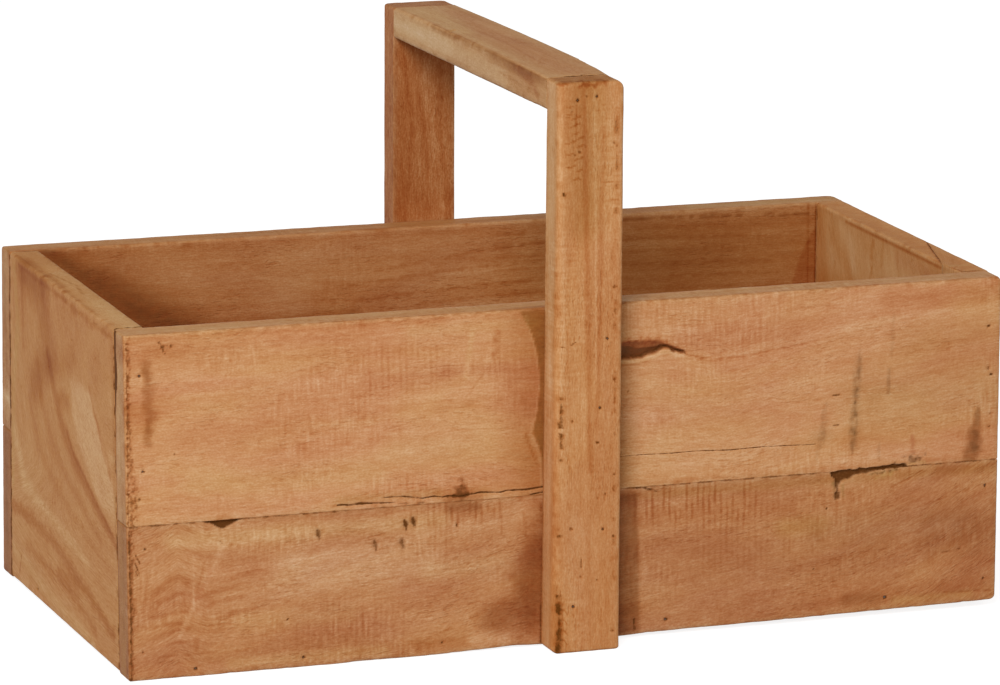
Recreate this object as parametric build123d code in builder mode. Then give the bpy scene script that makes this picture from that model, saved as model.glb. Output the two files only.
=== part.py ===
"""Wooden tote box: nailed board walls, a two-board floor and a fixed hoop handle of three bars.

Millimetres, +Z up. X runs along the box and the front wall is at -Y. The origin is the middle of the underside.
"""

import os

from build123d import *

os.makedirs("parts", exist_ok=True)

# Box
box_length = 400.0
box_width = 202.0
wall_height = 150.0
wall_thickness = 15.0
lower_board_height = 67.5
end_thickness = 13.5
end_lift = 1.0

# Floor
floor_thickness = 10.0
floor_joint_gap = 0.4

# Handle
upright_width = 29.0
upright_thickness = 15.0
handle_height = 250.0
bar_height = 14.0

# Worn edges
board_arris = 1.2
foot_arris = 2.5
handle_arris = 2.0

# Repair piece scarfed into the top of the right end board, beside the front wall
patch_depth = 40.0
patch_outer_length = 73.0
patch_inner_length = 12.0

# Bark pocket in the upper front board, its far tip behind the upright
pocket_length = 46.0
pocket_height = 7.5
pocket_depth = 4.0
pocket_slope = 5.0
pocket_middle = 29.0
pocket_drop = 21.5

# Flat T-headed brads
nail_width = 1.5
nail_thickness = 1.2
nail_head_width = 2.4
nail_head_height = 1.0
nail_point_length = 2.5
nail_set_depth = 0.6
nail_grip = 14.0
nail_spare = 3.0
cut_overrun = 1.0

# Nail places along each board's height, the box's length, and the upright's width and the wall's height
corner_nail_shares = {
    "left": {"lower": (0.18, 0.85), "upper": (0.28, 0.79)},
    "right": {"lower": (0.20, 0.83), "upper": (0.25, 0.73)},
}
floor_nail_shares = (0.075, 0.195, 0.352, 0.610, 0.868)
upright_nail_shares = ((0.34, 0.915), (0.24, 0.713), (0.31, 0.356), (-0.15, 0.133))
bar_nail_shares = (-0.13, 0.17)

# Faces and rooms that the pieces share
half_length = box_length / 2
half_width = box_width / 2
inside_length = box_length - 2 * end_thickness
inside_width = box_width - 2 * wall_thickness
end_middle = half_length - end_thickness / 2
wall_middle = half_width - wall_thickness / 2
upright_face = half_width + upright_thickness
floor_board_width = (inside_width - floor_joint_gap) / 2
floor_board_middle = (floor_board_width + floor_joint_gap) / 2
wall_boards = {
    "lower": (0, lower_board_height),
    "upper": (lower_board_height, wall_height - lower_board_height),
}
long_sides = {"front": -1, "back": 1}
short_sides = {"left": -1, "right": 1}


def save(piece, name):
    """Label a finished piece and write it as its own file."""
    piece.part.label = name
    export_step(piece.part, f"parts/{name}.step")


def nail_shape(length, top):
    """Flat T-headed brad pointing down from a wood face at z = 0, its outline carried through its thickness."""
    head = nail_head_width / 2
    shank = nail_width / 2
    head_foot = -nail_set_depth - nail_head_height
    with BuildPart() as nail:
        with BuildSketch(Plane.XZ):
            with BuildLine():
                half = Polyline(
                    (0, top),
                    (head, top),
                    (head, head_foot),
                    (shank, head_foot),
                    (shank, nail_point_length - length),
                    (0, -length),
                )
                mirror(half, about=Plane.YZ)
            make_face()
        extrude(amount=nail_thickness / 2, both=True)
    return nail.part


# Nail groups: how deep each nail reaches from the face that it is driven into, and where it goes in
nail_depths = {}
nail_places = {}


def nail_group(name, depth, points, outward):
    """Note one joint's nails, driven square into the face whose outward direction is given."""
    nail_depths[name] = depth
    level = Vector(0, 0, 1).cross(Vector(outward))
    nail_places[name] = [Plane(origin=point, x_dir=level, z_dir=outward) for point in points]


for side, across in long_sides.items():
    for end, along in short_sides.items():
        heights = [
            bottom + share * height
            for row, (bottom, height) in wall_boards.items()
            for share in corner_nail_shares[end][row]
        ]
        points = [(along * end_middle, across * half_width, z) for z in heights]
        nail_group(f"{side}_{end}_corner_nails", wall_thickness + nail_grip, points, (0, across, 0))
    points = [
        (share * box_length - half_length, across * half_width, floor_thickness / 2)
        for share in floor_nail_shares
    ]
    nail_group(f"{side}_floor_nails", wall_thickness + nail_grip, points, (0, across, 0))
    points = [
        (aside * upright_width, across * upright_face, up * wall_height)
        for aside, up in upright_nail_shares
    ]
    depth = upright_thickness + wall_thickness - nail_spare
    nail_group(f"{side}_upright_nails", depth, points, (0, across, 0))
    points = [
        (aside * upright_width, across * upright_face, handle_height - bar_height / 2)
        for aside in bar_nail_shares
    ]
    nail_group(f"{side}_bar_nails", upright_thickness + nail_grip, points, (0, across, 0))

for end, along in short_sides.items():
    points = [
        (along * half_length, across * floor_board_middle, floor_thickness / 2)
        for across in long_sides.values()
    ]
    nail_group(f"{end}_floor_nails", end_thickness + nail_grip, points, (along, 0, 0))


def drill(*groups):
    """Cut the holes of the named nail groups out of the piece that is being built."""
    for group in groups:
        hole = nail_shape(nail_depths[group], cut_overrun)
        with Locations(*nail_places[group]):
            add(hole, mode=Mode.SUBTRACT)


for group, places in nail_places.items():
    shape = nail_shape(nail_depths[group], -nail_set_depth)
    with BuildPart() as nails:
        with Locations(*places):
            add(shape)
    save(nails, group)

# Long walls: two boards each, edge to edge, running past the ends
for side, across in long_sides.items():
    outer = 0 if across < 0 else -1
    for row, (bottom, height) in wall_boards.items():
        with BuildPart() as wall_board:
            with BuildSketch(Plane.XY.offset(bottom)):
                with Locations((0, across * wall_middle)):
                    Rectangle(box_length, wall_thickness)
            extrude(amount=height)
            corners = wall_board.edges().filter_by(Axis.Z).group_by(Axis.Y)[outer]
            if row == "upper":
                fillet(corners + wall_board.faces().sort_by(Axis.Z)[-1].edges(), board_arris)
            else:
                foot = wall_board.faces().sort_by(Axis.Z)[0].edges()
                fillet(foot.filter_by(Axis.Y), foot_arris)
                rim = wall_board.edges().filter_by(Axis.X).group_by(Axis.Y)[outer].sort_by(Axis.Z)[0]
                fillet(wall_board.edges().filter_by(Axis.Z).group_by(Axis.Y)[outer] + [rim], board_arris)
            drill(
                f"{side}_left_corner_nails",
                f"{side}_right_corner_nails",
                f"{side}_floor_nails",
                f"{side}_upright_nails",
            )
            if (side, row) == ("front", "upper"):
                face = Plane(
                    origin=(pocket_middle, across * half_width, wall_height - pocket_drop),
                    x_dir=(1, 0, 0),
                    z_dir=(0, across, 0),
                )
                with BuildSketch(face.rotated((0, 0, -pocket_slope))):
                    with BuildLine():
                        left_tip = (-pocket_length / 2, 0)
                        right_tip = (pocket_length / 2, 0)
                        ThreePointArc(left_tip, (0, pocket_height / 2), right_tip)
                        ThreePointArc(right_tip, (0, -pocket_height / 2), left_tip)
                    make_face()
                extrude(amount=-pocket_depth, mode=Mode.SUBTRACT)
        save(wall_board, f"{side}_{row}_board")

# End boards: housed between the long walls, the right one with its scarfed repair piece
patch_front = -inside_width / 2
for end, along in short_sides.items():
    with BuildPart() as end_blank:
        with BuildSketch(Plane.XY.offset(end_lift)):
            with Locations((along * end_middle, 0)):
                Rectangle(end_thickness, inside_width)
        extrude(amount=wall_height - end_lift)
        fillet(end_blank.edges().filter_by(Axis.Y).group_by(Axis.Z)[-1], board_arris)
        drill(f"front_{end}_corner_nails", f"back_{end}_corner_nails", f"{end}_floor_nails")
    if end == "left":
        save(end_blank, "left_end_board")
        continue
    with BuildPart() as scarf:
        with BuildSketch(Plane.XY.offset(wall_height - patch_depth)):
            with BuildLine():
                Polyline(
                    (half_length - end_thickness, patch_front),
                    (half_length, patch_front),
                    (half_length, patch_front + patch_outer_length),
                    (half_length - end_thickness, patch_front + patch_inner_length),
                    close=True,
                )
            make_face()
        extrude(amount=patch_depth)
    with BuildPart() as right_end_board:
        add(end_blank.part)
        add(scarf.part, mode=Mode.SUBTRACT)
    save(right_end_board, "right_end_board")
    with BuildPart() as right_end_patch:
        add(end_blank.part)
        add(scarf.part, mode=Mode.INTERSECT)
    save(right_end_patch, "right_end_patch")

# Floor: two boards side by side, flush with the walls' foot
for side, across in long_sides.items():
    with BuildPart() as floor_board:
        with BuildSketch():
            with Locations((0, across * floor_board_middle)):
                Rectangle(inside_length, floor_board_width)
        extrude(amount=floor_thickness)
        drill(f"{side}_floor_nails", "left_floor_nails", "right_floor_nails")
    save(floor_board, f"{side}_floor_board")

# Handle uprights: nailed outside the long walls, standing on the same level as the box
for side, across in long_sides.items():
    outer = 0 if across < 0 else -1
    with BuildPart() as upright:
        with BuildSketch():
            with Locations((0, across * (half_width + upright_thickness / 2))):
                Rectangle(upright_width, upright_thickness)
        extrude(amount=handle_height)
        outer_face = upright.faces().sort_by(Axis.Y)[outer]
        top_sides = upright.faces().sort_by(Axis.Z)[-1].edges().filter_by(Axis.Y)
        worn = outer_face.edges().filter_by(Axis.Z) + outer_face.edges().sort_by(Axis.Z)[-1:] + top_sides
        fillet(worn, handle_arris)
        drill(f"{side}_upright_nails", f"{side}_bar_nails")
    save(upright, f"{side}_upright")

# Handle bar: butted between the uprights, its top flush with theirs
with BuildPart() as handle_bar:
    with BuildSketch(Plane.XY.offset(handle_height - bar_height)):
        Rectangle(upright_width, box_width)
    extrude(amount=bar_height)
    fillet(handle_bar.edges().filter_by(Axis.Y), handle_arris)
    drill("front_bar_nails", "back_bar_nails")
save(handle_bar, "handle_bar")
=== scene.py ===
"""Looks of the wooden tote box: worn boards, driven nails and a plain studio stage.

Every board is a closed profile carried along its grain, worked out in millimetres in the CAD frame. X runs
along the box, the front wall is at -Y and Z is up.
"""

from dataclasses import dataclass

import bpy
import numpy as np
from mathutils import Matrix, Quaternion, Vector


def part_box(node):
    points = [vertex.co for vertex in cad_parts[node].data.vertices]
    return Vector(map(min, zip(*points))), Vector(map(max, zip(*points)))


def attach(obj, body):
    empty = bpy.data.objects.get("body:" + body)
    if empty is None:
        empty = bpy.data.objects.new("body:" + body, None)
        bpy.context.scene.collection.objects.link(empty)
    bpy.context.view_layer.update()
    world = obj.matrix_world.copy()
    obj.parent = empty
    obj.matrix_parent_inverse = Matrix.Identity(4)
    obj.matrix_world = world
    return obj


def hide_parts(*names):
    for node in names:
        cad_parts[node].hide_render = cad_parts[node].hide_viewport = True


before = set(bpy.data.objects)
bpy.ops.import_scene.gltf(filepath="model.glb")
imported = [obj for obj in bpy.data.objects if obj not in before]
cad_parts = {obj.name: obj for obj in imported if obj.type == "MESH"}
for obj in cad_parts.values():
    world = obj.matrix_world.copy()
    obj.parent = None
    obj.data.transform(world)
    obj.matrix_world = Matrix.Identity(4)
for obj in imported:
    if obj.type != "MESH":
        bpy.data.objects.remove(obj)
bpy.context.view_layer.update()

bl_info = {
    "name": "Wooden tote box",
    "version": (1, 0, 0),
    "blender": (4, 5, 0),
    "location": "3D View > Sidebar > Tote box",
    "description": "Dresses the tote box's frame with worn boards, driven nails and a studio stage",
    "category": "Add Mesh",
}

MM = 0.001


# Faces of the box, in millimetres, from the frame
def corners_mm(node):
    """Lowest and highest corner of a CAD node in millimetres."""
    return [np.array(corner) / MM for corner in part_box(node)]


front_low, front_high = corners_mm("front_upper_board")
back_high = corners_mm("back_upper_board")[1]
end_low, end_high = corners_mm("right_end_board")
patch_low, patch_high = corners_mm("right_end_patch")
upright_high = corners_mm("front_upright")[1]
WALL_TOP = front_high[2]
SEAM = front_low[2]
HALF_LENGTH = front_high[0]
FRONT_FACE = front_low[1]
BACK_FACE = back_high[1]
UPRIGHT_HALF = upright_high[0]
HANDLE_TOP = upright_high[2]


# Random fields, from a fixed integer hash: its primes, its mixing steps of a shift and a prime, its range
CELL_PRIMES = (374761393, 668265263, 69069)
SEED_PRIME = 1013904223
MIX_STEPS = ((15, 2246822519), (13, 3266489917))
LAST_SHIFT = 16
LOW_BITS = 0xFFFFFFFF


def lattice(cells, seed):
    """Random value from -1 to 1 for each whole-number cell: the hash of its cell and the seed."""
    mixed = sum(cells[..., axis] * prime for axis, prime in enumerate(CELL_PRIMES)) + seed * SEED_PRIME
    mixed = (mixed & LOW_BITS).astype(np.uint64)
    for shift, prime in MIX_STEPS:
        mixed = ((mixed ^ (mixed >> np.uint64(shift))) * np.uint64(prime)) & np.uint64(LOW_BITS)
    mixed = mixed ^ (mixed >> np.uint64(LAST_SHIFT))
    return mixed.astype(float) / (LOW_BITS / 2) - 1.0


def eased(value):
    """Smooth step: 0 below 0, 1 above 1, with level ends."""
    value = np.clip(value, 0, 1)
    return value * value * (3 - 2 * value)


def noise(points, size, seed):
    """Smooth random field from -1 to 1: lattice values a size apart, eased between them along each axis."""
    place = points / np.asarray(size, float)
    cell = np.floor(place).astype(np.int64)
    ease = eased(place - cell)
    total = np.zeros(points.shape[:-1])
    for corner in np.ndindex(2, 2, 2):
        share = np.prod(np.where(corner, ease, 1 - ease), axis=-1)
        total += share * lattice(cell + np.array(corner), seed)
    return total


# Marks drawn on a board's faces: seeds, sizes and sharpness of their ragged edges and breaks
WANDER_SEED = 31
BREAK_SEED = 57
EDGE_SEED = 43
EDGE_GRIT = 1.6
BREAK_STRETCH = 1.7
BREAK_SHARPNESS = 4
SHORTEST_RUN = 1e-9
LEAST_HEIGHT = 0.1


def loose(plan, size, seed):
    """Random field over places on a face."""
    return noise(np.concatenate([plan, np.zeros((len(plan), 1))], axis=1), size, seed)


@dataclass(kw_only=True)
class Mark:
    """What a mark leaves on a face.

    dark fills it with dirt, stain browns it (below 0 it bleaches), red reddens it (below 0 it yellows),
    grime lays a grey-brown coat on it and depth, in millimetres, is carved away. Stain and grime also lay
    painted shade and shadow.
    """

    dark: float = 0.0
    stain_and_shade: float = 0.0
    red: float = 0.0
    grime: float = 0.0
    depth: float = 0.0


@dataclass
class Stroke(Mark):
    """A mark along a path of (first, second, half width) places in millimetres on a face.

    soft is the share of the half width over which it fades, ragged the share by which its edge wanders,
    broken the share of its length that is missing and grit the size of those breaks in millimetres.
    """

    path: tuple
    soft: float = 1.0
    ragged: float = 0.0
    broken: float = 0.0
    grit: float = 1.8

    def bounds(self):
        """Lowest and highest place that the mark can reach."""
        places = np.array(self.path, float)
        reach = (1 + self.ragged) * places[:, 2].max()
        return places[:, :2].min(0) - reach, places[:, :2].max(0) + reach

    def weights(self, plan):
        """Share of the mark at each place: 1 on its path, fading with the distance from its nearest part."""
        wander = self.ragged * loose(plan, self.grit, WANDER_SEED) if self.ragged else 0.0
        best = np.zeros(len(plan))
        steps = list(zip(self.path, self.path[1:])) or [(self.path[0], self.path[0])]
        for start, end in steps:
            start, end = np.array(start, float), np.array(end, float)
            run = end[:2] - start[:2]
            share = np.clip((plan - start[:2]) @ run / max(run @ run, SHORTEST_RUN), 0, 1)
            gap = np.linalg.norm(plan - start[:2] - share[:, None] * run, axis=1)
            width = start[2] + share * (end[2] - start[2])
            best = np.maximum(best, np.clip((1 + wander - gap / width) / self.soft, 0, 1))
        if self.broken:
            gaps = loose(plan, BREAK_STRETCH * self.grit, BREAK_SEED)
            best = best * eased((gaps + 1 - 2 * self.broken) * BREAK_SHARPNESS)
        best = eased(best)
        return best, best


@dataclass
class Hollow(Mark):
    """A mark between a low and a high edge, paths of (first, second) places in millimetres on a face.

    The edges run along the first direction, or along the second where upright is set. They fade over soft
    and wander by ragged, both in millimetres, and slope is the share of the depth and dirt that builds up
    from high to low.
    """

    low: tuple
    high: tuple
    soft: float = 0.5
    ragged: float = 0.0
    slope: float = 0.0
    upright: bool = False

    def bounds(self):
        """Lowest and highest place that the mark can reach."""
        places = np.array(self.low + self.high, float)
        reach = self.soft + self.ragged
        return places.min(0) - reach, places.max(0) + reach

    def weights(self, plan):
        """Share of the mark's colour and of its depth at each place between the edges."""
        run, height = (plan[:, 1], plan[:, 0]) if self.upright else (plan[:, 0], plan[:, 1])
        lows = np.array(sorted(p[::-1] if self.upright else p for p in self.low), float)
        highs = np.array(sorted(p[::-1] if self.upright else p for p in self.high), float)
        height = height + self.ragged * loose(plan, EDGE_GRIT, EDGE_SEED)
        low = np.interp(run, lows[:, 0], lows[:, 1])
        high = np.interp(run, highs[:, 0], highs[:, 1])
        inside = eased((height - low) / self.soft + 0.5) * eased((high - height) / self.soft + 0.5)
        inside = inside * eased((run - lows[0, 0]) / self.soft) * eased((lows[-1, 0] - run) / self.soft)
        fall = 1 - self.slope * np.clip((height - low) / np.maximum(high - low, LEAST_HEIGHT), 0, 1)
        return inside, inside * fall


# tints that marks lay on; the stain and grime tints also carry painted shade and painted shadow
TINTS = ("stain_and_shade", "red", "grime")


def draw(marks, plan, share):
    """Dirt, tints and carved depth that marks leave at places on a face, where share of it is theirs."""
    drawn = {key: np.zeros(len(plan)) for key in ("dark", "depth", *TINTS)}
    for mark in marks:
        low, high = mark.bounds()
        near = np.flatnonzero(((plan > low) & (plan < high)).all(axis=1) & (share > 0))
        if not len(near):
            continue
        tint, carved = (weight * share[near] for weight in mark.weights(plan[near]))
        drawn["dark"][near] = np.maximum(drawn["dark"][near], mark.dark * carved)
        for key in TINTS:
            drawn[key][near] += getattr(mark, key) * tint
        cut = mark.depth * carved
        held = drawn["depth"][near]
        drawn["depth"][near] = np.where(np.abs(cut) > np.abs(held), cut, held)
    return drawn


def hole(first, second, reach=1.1, depth=0.8):
    """Round nail hole or bore, dark inside."""
    return Stroke(((first, second, reach),), dark=0.95, stain_and_shade=0.5, depth=depth, soft=0.8, ragged=0.3)


def fleck(first, second, reach=0.8, dark=0.7):
    """Small dirty dent with a browned edge."""
    spot = (first, second, 1.3 * reach)
    return Stroke((spot,), dark=dark, stain_and_shade=0.6, depth=0.25, soft=0.8, ragged=0.5, grit=1.2)


def clouds(*rows):
    """Soft clouds of colour: rows of first, second, reach, run along the first direction, then the tints."""
    return tuple(
        Stroke(((first - run, second, reach), (first + run, second, reach)), **dict(zip(TINTS, tints)))
        for first, second, reach, run, *tints in rows
    )


# Stretches of the front seam: x and half width at the start and at the end, and how dark the dirt is
SEAM_STRETCHES = (
    ((-199, 0.4), (-80, 0.4), 0.5),
    ((-80, 0.35), (-14, 0.35), 0.25),
    ((-14, 0.35), (199, 0.4), 0.5),
)


def seam_dirt(height):
    """Dirt along an edge of the front seam, faint where the burn hides it."""
    return tuple(
        Stroke(((start, height, thin), (end, height, thick)),
               dark=dark, stain_and_shade=0.4, ragged=0.6, broken=0.15, grit=2.2)
        for (start, thin), (end, thick), dark in SEAM_STRETCHES
    )


# Lip of the bark pocket, in x and z
POCKET_LIP = (
    (6, 125.4), (22.4, 125.4), (30.8, 124.8), (36.2, 126.4), (39.9, 127.9), (42.8, 128.6), (45.9, 127.2),
    (52, 125.2),
)
FRONT_UPPER_MARKS = (
    # bark pocket: it deepens down to a sharp pale lip, and a crease trails from it
    Hollow(POCKET_LIP,
           ((6, 132.6), (22.4, 132.6), (30.6, 132.6), (38, 132.4), (41.7, 131.2), (45.4, 129.7),
            (49.1, 128.2), (52, 126.4)),
           stain_and_shade=1, red=0.8, grime=0.4, depth=0.9, soft=1.4, ragged=0.6, slope=0.7),
    Hollow(POCKET_LIP,
           ((6, 131.4), (22.4, 130.8), (30.6, 129.2), (38, 129.6), (41.7, 130.4), (45.4, 129.2),
            (49.1, 127.8), (52, 126)),
           dark=0.42, stain_and_shade=0.3, grime=0.3, depth=2.6, soft=0.9, ragged=0.5, slope=0.6),
    Stroke(((20, 125.9, 0.9), (30.8, 125.5, 0.7), (36.2, 127, 0.8), (39.9, 128.5, 0.9), (42.8, 129.3, 0.7),
            (45.9, 128, 1.2), (52, 125.9, 0.9)), dark=0.62, stain_and_shade=0.4, ragged=0.6, grit=1.2),
    Stroke(((19, 126, 3.4), (20.5, 131, 2.6)), dark=0.6, ragged=0.4),
    Stroke(((24, 132.6, 1.4), (33, 132.8, 1.6), (42, 131.6, 1.2)), stain_and_shade=0.5, red=0.4, ragged=1, grit=1),
    Stroke(((20, 123.7, 1), (30, 123.7, 1.2), (36, 125, 1.4), (40, 126.6, 1.5), (43, 127.2, 1.5),
            (47, 125.6, 1.3), (52, 123.9, 0.8)), stain_and_shade=-0.3, red=-0.2, soft=0.7),
    Stroke(((20, 122.4, 0.7), (28, 122.3, 0.7), (34.5, 123.4, 0.5)), stain_and_shade=0.7, grime=0.08),
    Stroke(((50, 126.2, 1.2), (53, 125.2, 1.4), (60, 123.4, 0.8)), stain_and_shade=0.55, ragged=0.4),
    Stroke(((51, 125.4, 0.6), (58, 123.4, 0.5), (68, 122.4, 0.5), (80, 122.5, 0.5), (92, 124.3, 0.5),
            (112, 126.5, 0.4)), stain_and_shade=0.65, depth=0.2, ragged=0.4),
    Stroke(((50, 124.2, 0.5), (60, 122, 0.5), (76, 121.2, 0.4), (90, 122.6, 0.35)), stain_and_shade=0.45, ragged=0.5),
    # hairline cracks
    Stroke(((-107, 70, 0.3), (-105, 70.1, 0.6), (-101.2, 69.7, 1), (-96.4, 70, 0.85), (-90, 69.7, 0.55),
            (-81, 69.2, 0.4)), dark=0.85, depth=0.7, ragged=0.25),
    Stroke(((-84, 69, 0.5), (-70, 68.4, 0.7), (-52, 68.2, 0.6)),
           dark=0.45, stain_and_shade=0.3, ragged=0.8, broken=0.35),
    Stroke(((-86.5, 71.9, 0.25), (-76.7, 71.6, 0.5), (-68.4, 70.1, 0.55), (-63.2, 70.7, 0.45),
            (-59.3, 70, 0.5), (-56.2, 70.4, 0.55), (-51.7, 69.5, 0.6), (-41.9, 70.8, 0.6),
            (-32.8, 70.1, 0.55), (-30, 70.7, 0.55), (-21.6, 70.4, 0.8), (-12, 71.1, 0.7)),
           dark=0.9, depth=0.9, ragged=0.25),
    Stroke(((-19.5, 68, 0.4), (-12, 68.8, 0.9)), dark=0.9, depth=0.8, ragged=0.2),
    Stroke(((20, 81.7, 0.25), (30, 82, 0.3), (44, 81.6, 0.4), (58, 81.7, 0.36), (73, 81, 0.44),
            (89, 81.3, 0.36), (113, 80.6, 0.2)), dark=0.8, stain_and_shade=0.3, depth=0.4, ragged=0.25, grit=2.6),
    Stroke(((20, 78.6, 0.4), (34, 78.2, 0.5), (48, 78.4, 0.3)), stain_and_shade=0.5, ragged=0.4),
    Stroke(((-51.5, 68.5, 5.4), (-51, 72, 4.4), (-50, 76.5, 2.4)),
           dark=0.46, stain_and_shade=0.8, red=0.2, grime=0.3, ragged=0.6),
    Stroke(((-57, 70, 1.2), (-51, 70.2, 2.2), (-46, 70.6, 1.2)), dark=0.66, stain_and_shade=0.3, ragged=0.6),
    Stroke(((-56, 68.6, 6), (-44, 68.8, 6)), stain_and_shade=0.35, grime=0.14, red=0.2),
    # scar, old stains and holes near the left end
    Stroke(((-185.4, 147, 0.9), (-184.1, 144.4, 1.1), (-182.8, 141.6, 0.8)),
           dark=0.64, stain_and_shade=0.5, depth=0.2, ragged=0.5, grit=1.2),
    Stroke(((-184.2, 144.4, 1), (-181.6, 145.4, 0.8)), dark=0.5, stain_and_shade=0.4, ragged=0.6),
    fleck(-180.2, 144.8, 0.9, 0.6),
    Stroke(((-190.8, 137, 3.4), (-190.4, 128, 4.4), (-189.8, 116, 4.4), (-190.3, 104, 3)),
           stain_and_shade=0.6, grime=0.18, ragged=0.3, grit=3),
    Stroke(((-191.5, 134, 2.4), (-190.8, 129, 2.4)), stain_and_shade=0.3, grime=0.08, ragged=0.5),
    Stroke(((-190.4, 113, 2), (-190.6, 108, 2.2)), stain_and_shade=0.3, grime=0.08, ragged=0.5),
    fleck(-194.3, 79.7, 0.9, 0.6), fleck(-195.2, 132.4, 0.7, 0.4), fleck(-178.9, 97.8, 0.5, 0.5),
    # pits and dirt along the left arris
    Stroke(((-198.8, 149, 1.3), (-198.6, 110, 1.6), (-198, 92, 2.2), (-197.6, 68, 2.6)),
           dark=0.42, stain_and_shade=0.6, red=0.1, ragged=0.7, grit=0.9),
    Stroke(((-199.4, 148, 0.8), (-199.3, 68, 0.9)), dark=0.52, stain_and_shade=0.5, ragged=0.6, grit=0.9),
    Stroke(((-196.6, 92, 1.8), (-195.8, 82, 2.4), (-196, 70, 2)),
           dark=0.36, stain_and_shade=0.3, ragged=0.8, grit=0.9),
    # curved edge of darker heartwood beside the upright
    Hollow(((-13.4, 70), (-13.5, 74), (-13.7, 82.6), (-14.8, 88.1), (-18.2, 95.8), (-16, 105.8),
            (-15.1, 114.9), (-15.5, 122.9), (-16.6, 131), (-18.9, 139.1), (-24.6, 149.5)),
           ((-4, 70), (-4, 149.5)),
           stain_and_shade=0.66, grime=0.18, red=-0.5, soft=0.6, upright=True),
    Stroke(((-22, 148, 0.8), (-19.6, 139.1, 0.7), (-17.2, 131, 0.7), (-16.1, 122.9, 0.6),
            (-15.8, 114.9, 0.6), (-16.7, 105.8, 0.7), (-18.9, 96.5, 0.8)), stain_and_shade=-0.42, soft=0.7),
    Stroke(((-19.4, 95, 1.1), (-16.2, 88.4, 1.2), (-14.8, 82.6, 1), (-14.2, 72, 0.9)),
           stain_and_shade=-0.5, depth=-0.1, soft=0.7),
    Stroke(((-21.7, 95, 0.9), (-19.4, 88.6, 0.9), (-17.2, 83.4, 0.5)), stain_and_shade=0.7),
    Stroke(((-10, 150, 32), (-10, 112, 32), (-11, 78, 30)), stain_and_shade=0.8, grime=0.16),
    Stroke(((-34.5, 142, 2), (-36.5, 126, 1.6)), stain_and_shade=0.4, red=0.2, ragged=0.6),
    Stroke(((-33.6, 141, 0.9), (-34, 127, 0.9)), stain_and_shade=0.3, ragged=0.5, broken=0.2, grit=1.2),
    Stroke(((-39.9, 124.6, 0.8), (-47, 115.2, 0.6)), stain_and_shade=0.5, ragged=0.3),
    Stroke(((-46, 141, 2), (-49, 122, 2)), stain_and_shade=-0.16, red=-0.3),
    # dark drips and dashes right of the upright
    *(
        Stroke(((top, high, 0.8), ((top + foot) / 2, (high + low) / 2, reach), (foot, low, 0.9)),
               grime=grime, stain_and_shade=0.1, ragged=0.5, grit=1.4)
        for top, high, foot, low, reach, grime in (
            (133.5, 122, 133.7, 106, 1.5, 0.22), (132.8, 116, 133, 100, 1.4, 0.15),
            (131.1, 111, 131.8, 98, 1.6, 0.22), (132.4, 105, 132, 92, 1.5, 0.18),
            (131.4, 101, 130.4, 86, 1.6, 0.22), (129.6, 93, 130.4, 77, 1.6, 0.2),
            (132.7, 94, 131.9, 79, 1.7, 0.24), (131.2, 88, 130.8, 75, 1.5, 0.2),
            (116.6, 96, 115.6, 78, 1.8, 0.15), (118.2, 99, 117, 81, 1.7, 0.14),
            (114.6, 85, 114, 73, 1.5, 0.09), (147.6, 112, 147.4, 101, 1.3, 0.22),
            (149.6, 137, 148.6, 118, 1.6, 0.1), (143.4, 79, 143.5, 71, 1, 0.16),
        )
    ),
    Stroke(((133, 119, 3), (132, 98, 4), (131.2, 79, 4.4)), grime=0.13),
    Stroke(((120.8, 102.2, 0.4), (122.4, 102.1, 0.65), (124.2, 102, 0.4)),
           dark=0.7, stain_and_shade=0.4, depth=0.3, ragged=0.4),
    Stroke(((121.2, 88.4, 0.4), (122.6, 88.2, 0.75), (124.2, 88.3, 0.4)),
           dark=0.7, stain_and_shade=0.4, depth=0.3, ragged=0.4),
    Stroke(((190.6, 91, 1.4), (189.8, 82, 4.2), (188.8, 77, 6), (188.4, 73, 6.2), (187.2, 69.5, 5.2)),
           stain_and_shade=0.55, grime=0.3, soft=0.85, ragged=0.2),
    Stroke(((189.4, 80, 2.4), (188.8, 74.5, 4.2)), stain_and_shade=0.3, grime=0.26, ragged=0.3),
    hole(195.1, 109.3, 1), hole(196.6, 106.1, 0.9), hole(196, 82.6, 1),
    Hollow(((120.8, 66), (157, 66)),
           ((120.8, 67.2), (124, 67.9), (134, 68.1), (146, 68.3), (154, 68.8), (157, 68.3)),
           dark=0.72, grime=0.6, depth=1.4, soft=0.6, ragged=0.5),
    Stroke(((152, 68.6, 1.2), (157.5, 69.8, 2), (164, 70.8, 1.8)),
           dark=0.46, grime=0.3, depth=0.3, ragged=1.1, grit=1.2),
    Stroke(((158, 68.4, 0.9), (166, 69, 1)), stain_and_shade=-0.1, red=-0.4, depth=0.3, ragged=1),
    Stroke(((159.2, 81, 1.2), (159.4, 74.5, 2.4)), red=0.7, stain_and_shade=0.12, ragged=0.3),
    fleck(25.3, 110.5, 0.6, 0.5), fleck(176, 121.5, 0.6, 0.4), fleck(181, 104, 0.6, 0.3),
    *clouds((116.5, 86, 6, 1, 0, 0, 0.07)),
    # clouds of tone; the first, down the upright's right side, is painted shadow that the upright casts
    Stroke(((15, 147, 14), (15, 110, 17), (15, 75, 18)), stain_and_shade=0.8, red=-0.5, grime=0.16),
    *seam_dirt(67.7),
    *clouds(
        (-176, 140, 12, 22, 0.1, 0.25), (-75, 124, 9, 16, 0.05, 0.35), (-45, 125, 5, 14, 0.1, 0.45),
        (-150, 106, 9, 25, 0.12, 0.1), (-130, 84, 10, 40, -0.06, -0.25), (-60, 92, 12, 20, -0.12, -0.3),
        (77, 131, 11, 26, 0, 0.45), (66, 100, 11, 24, 0.05, 0.25), (40, 96, 12, 10, -0.1),
        (176, 124, 16, 18, 0.18, 0, 0.06), (168, 100, 24, 30, 0.1, -0.1, 0.09),
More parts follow.
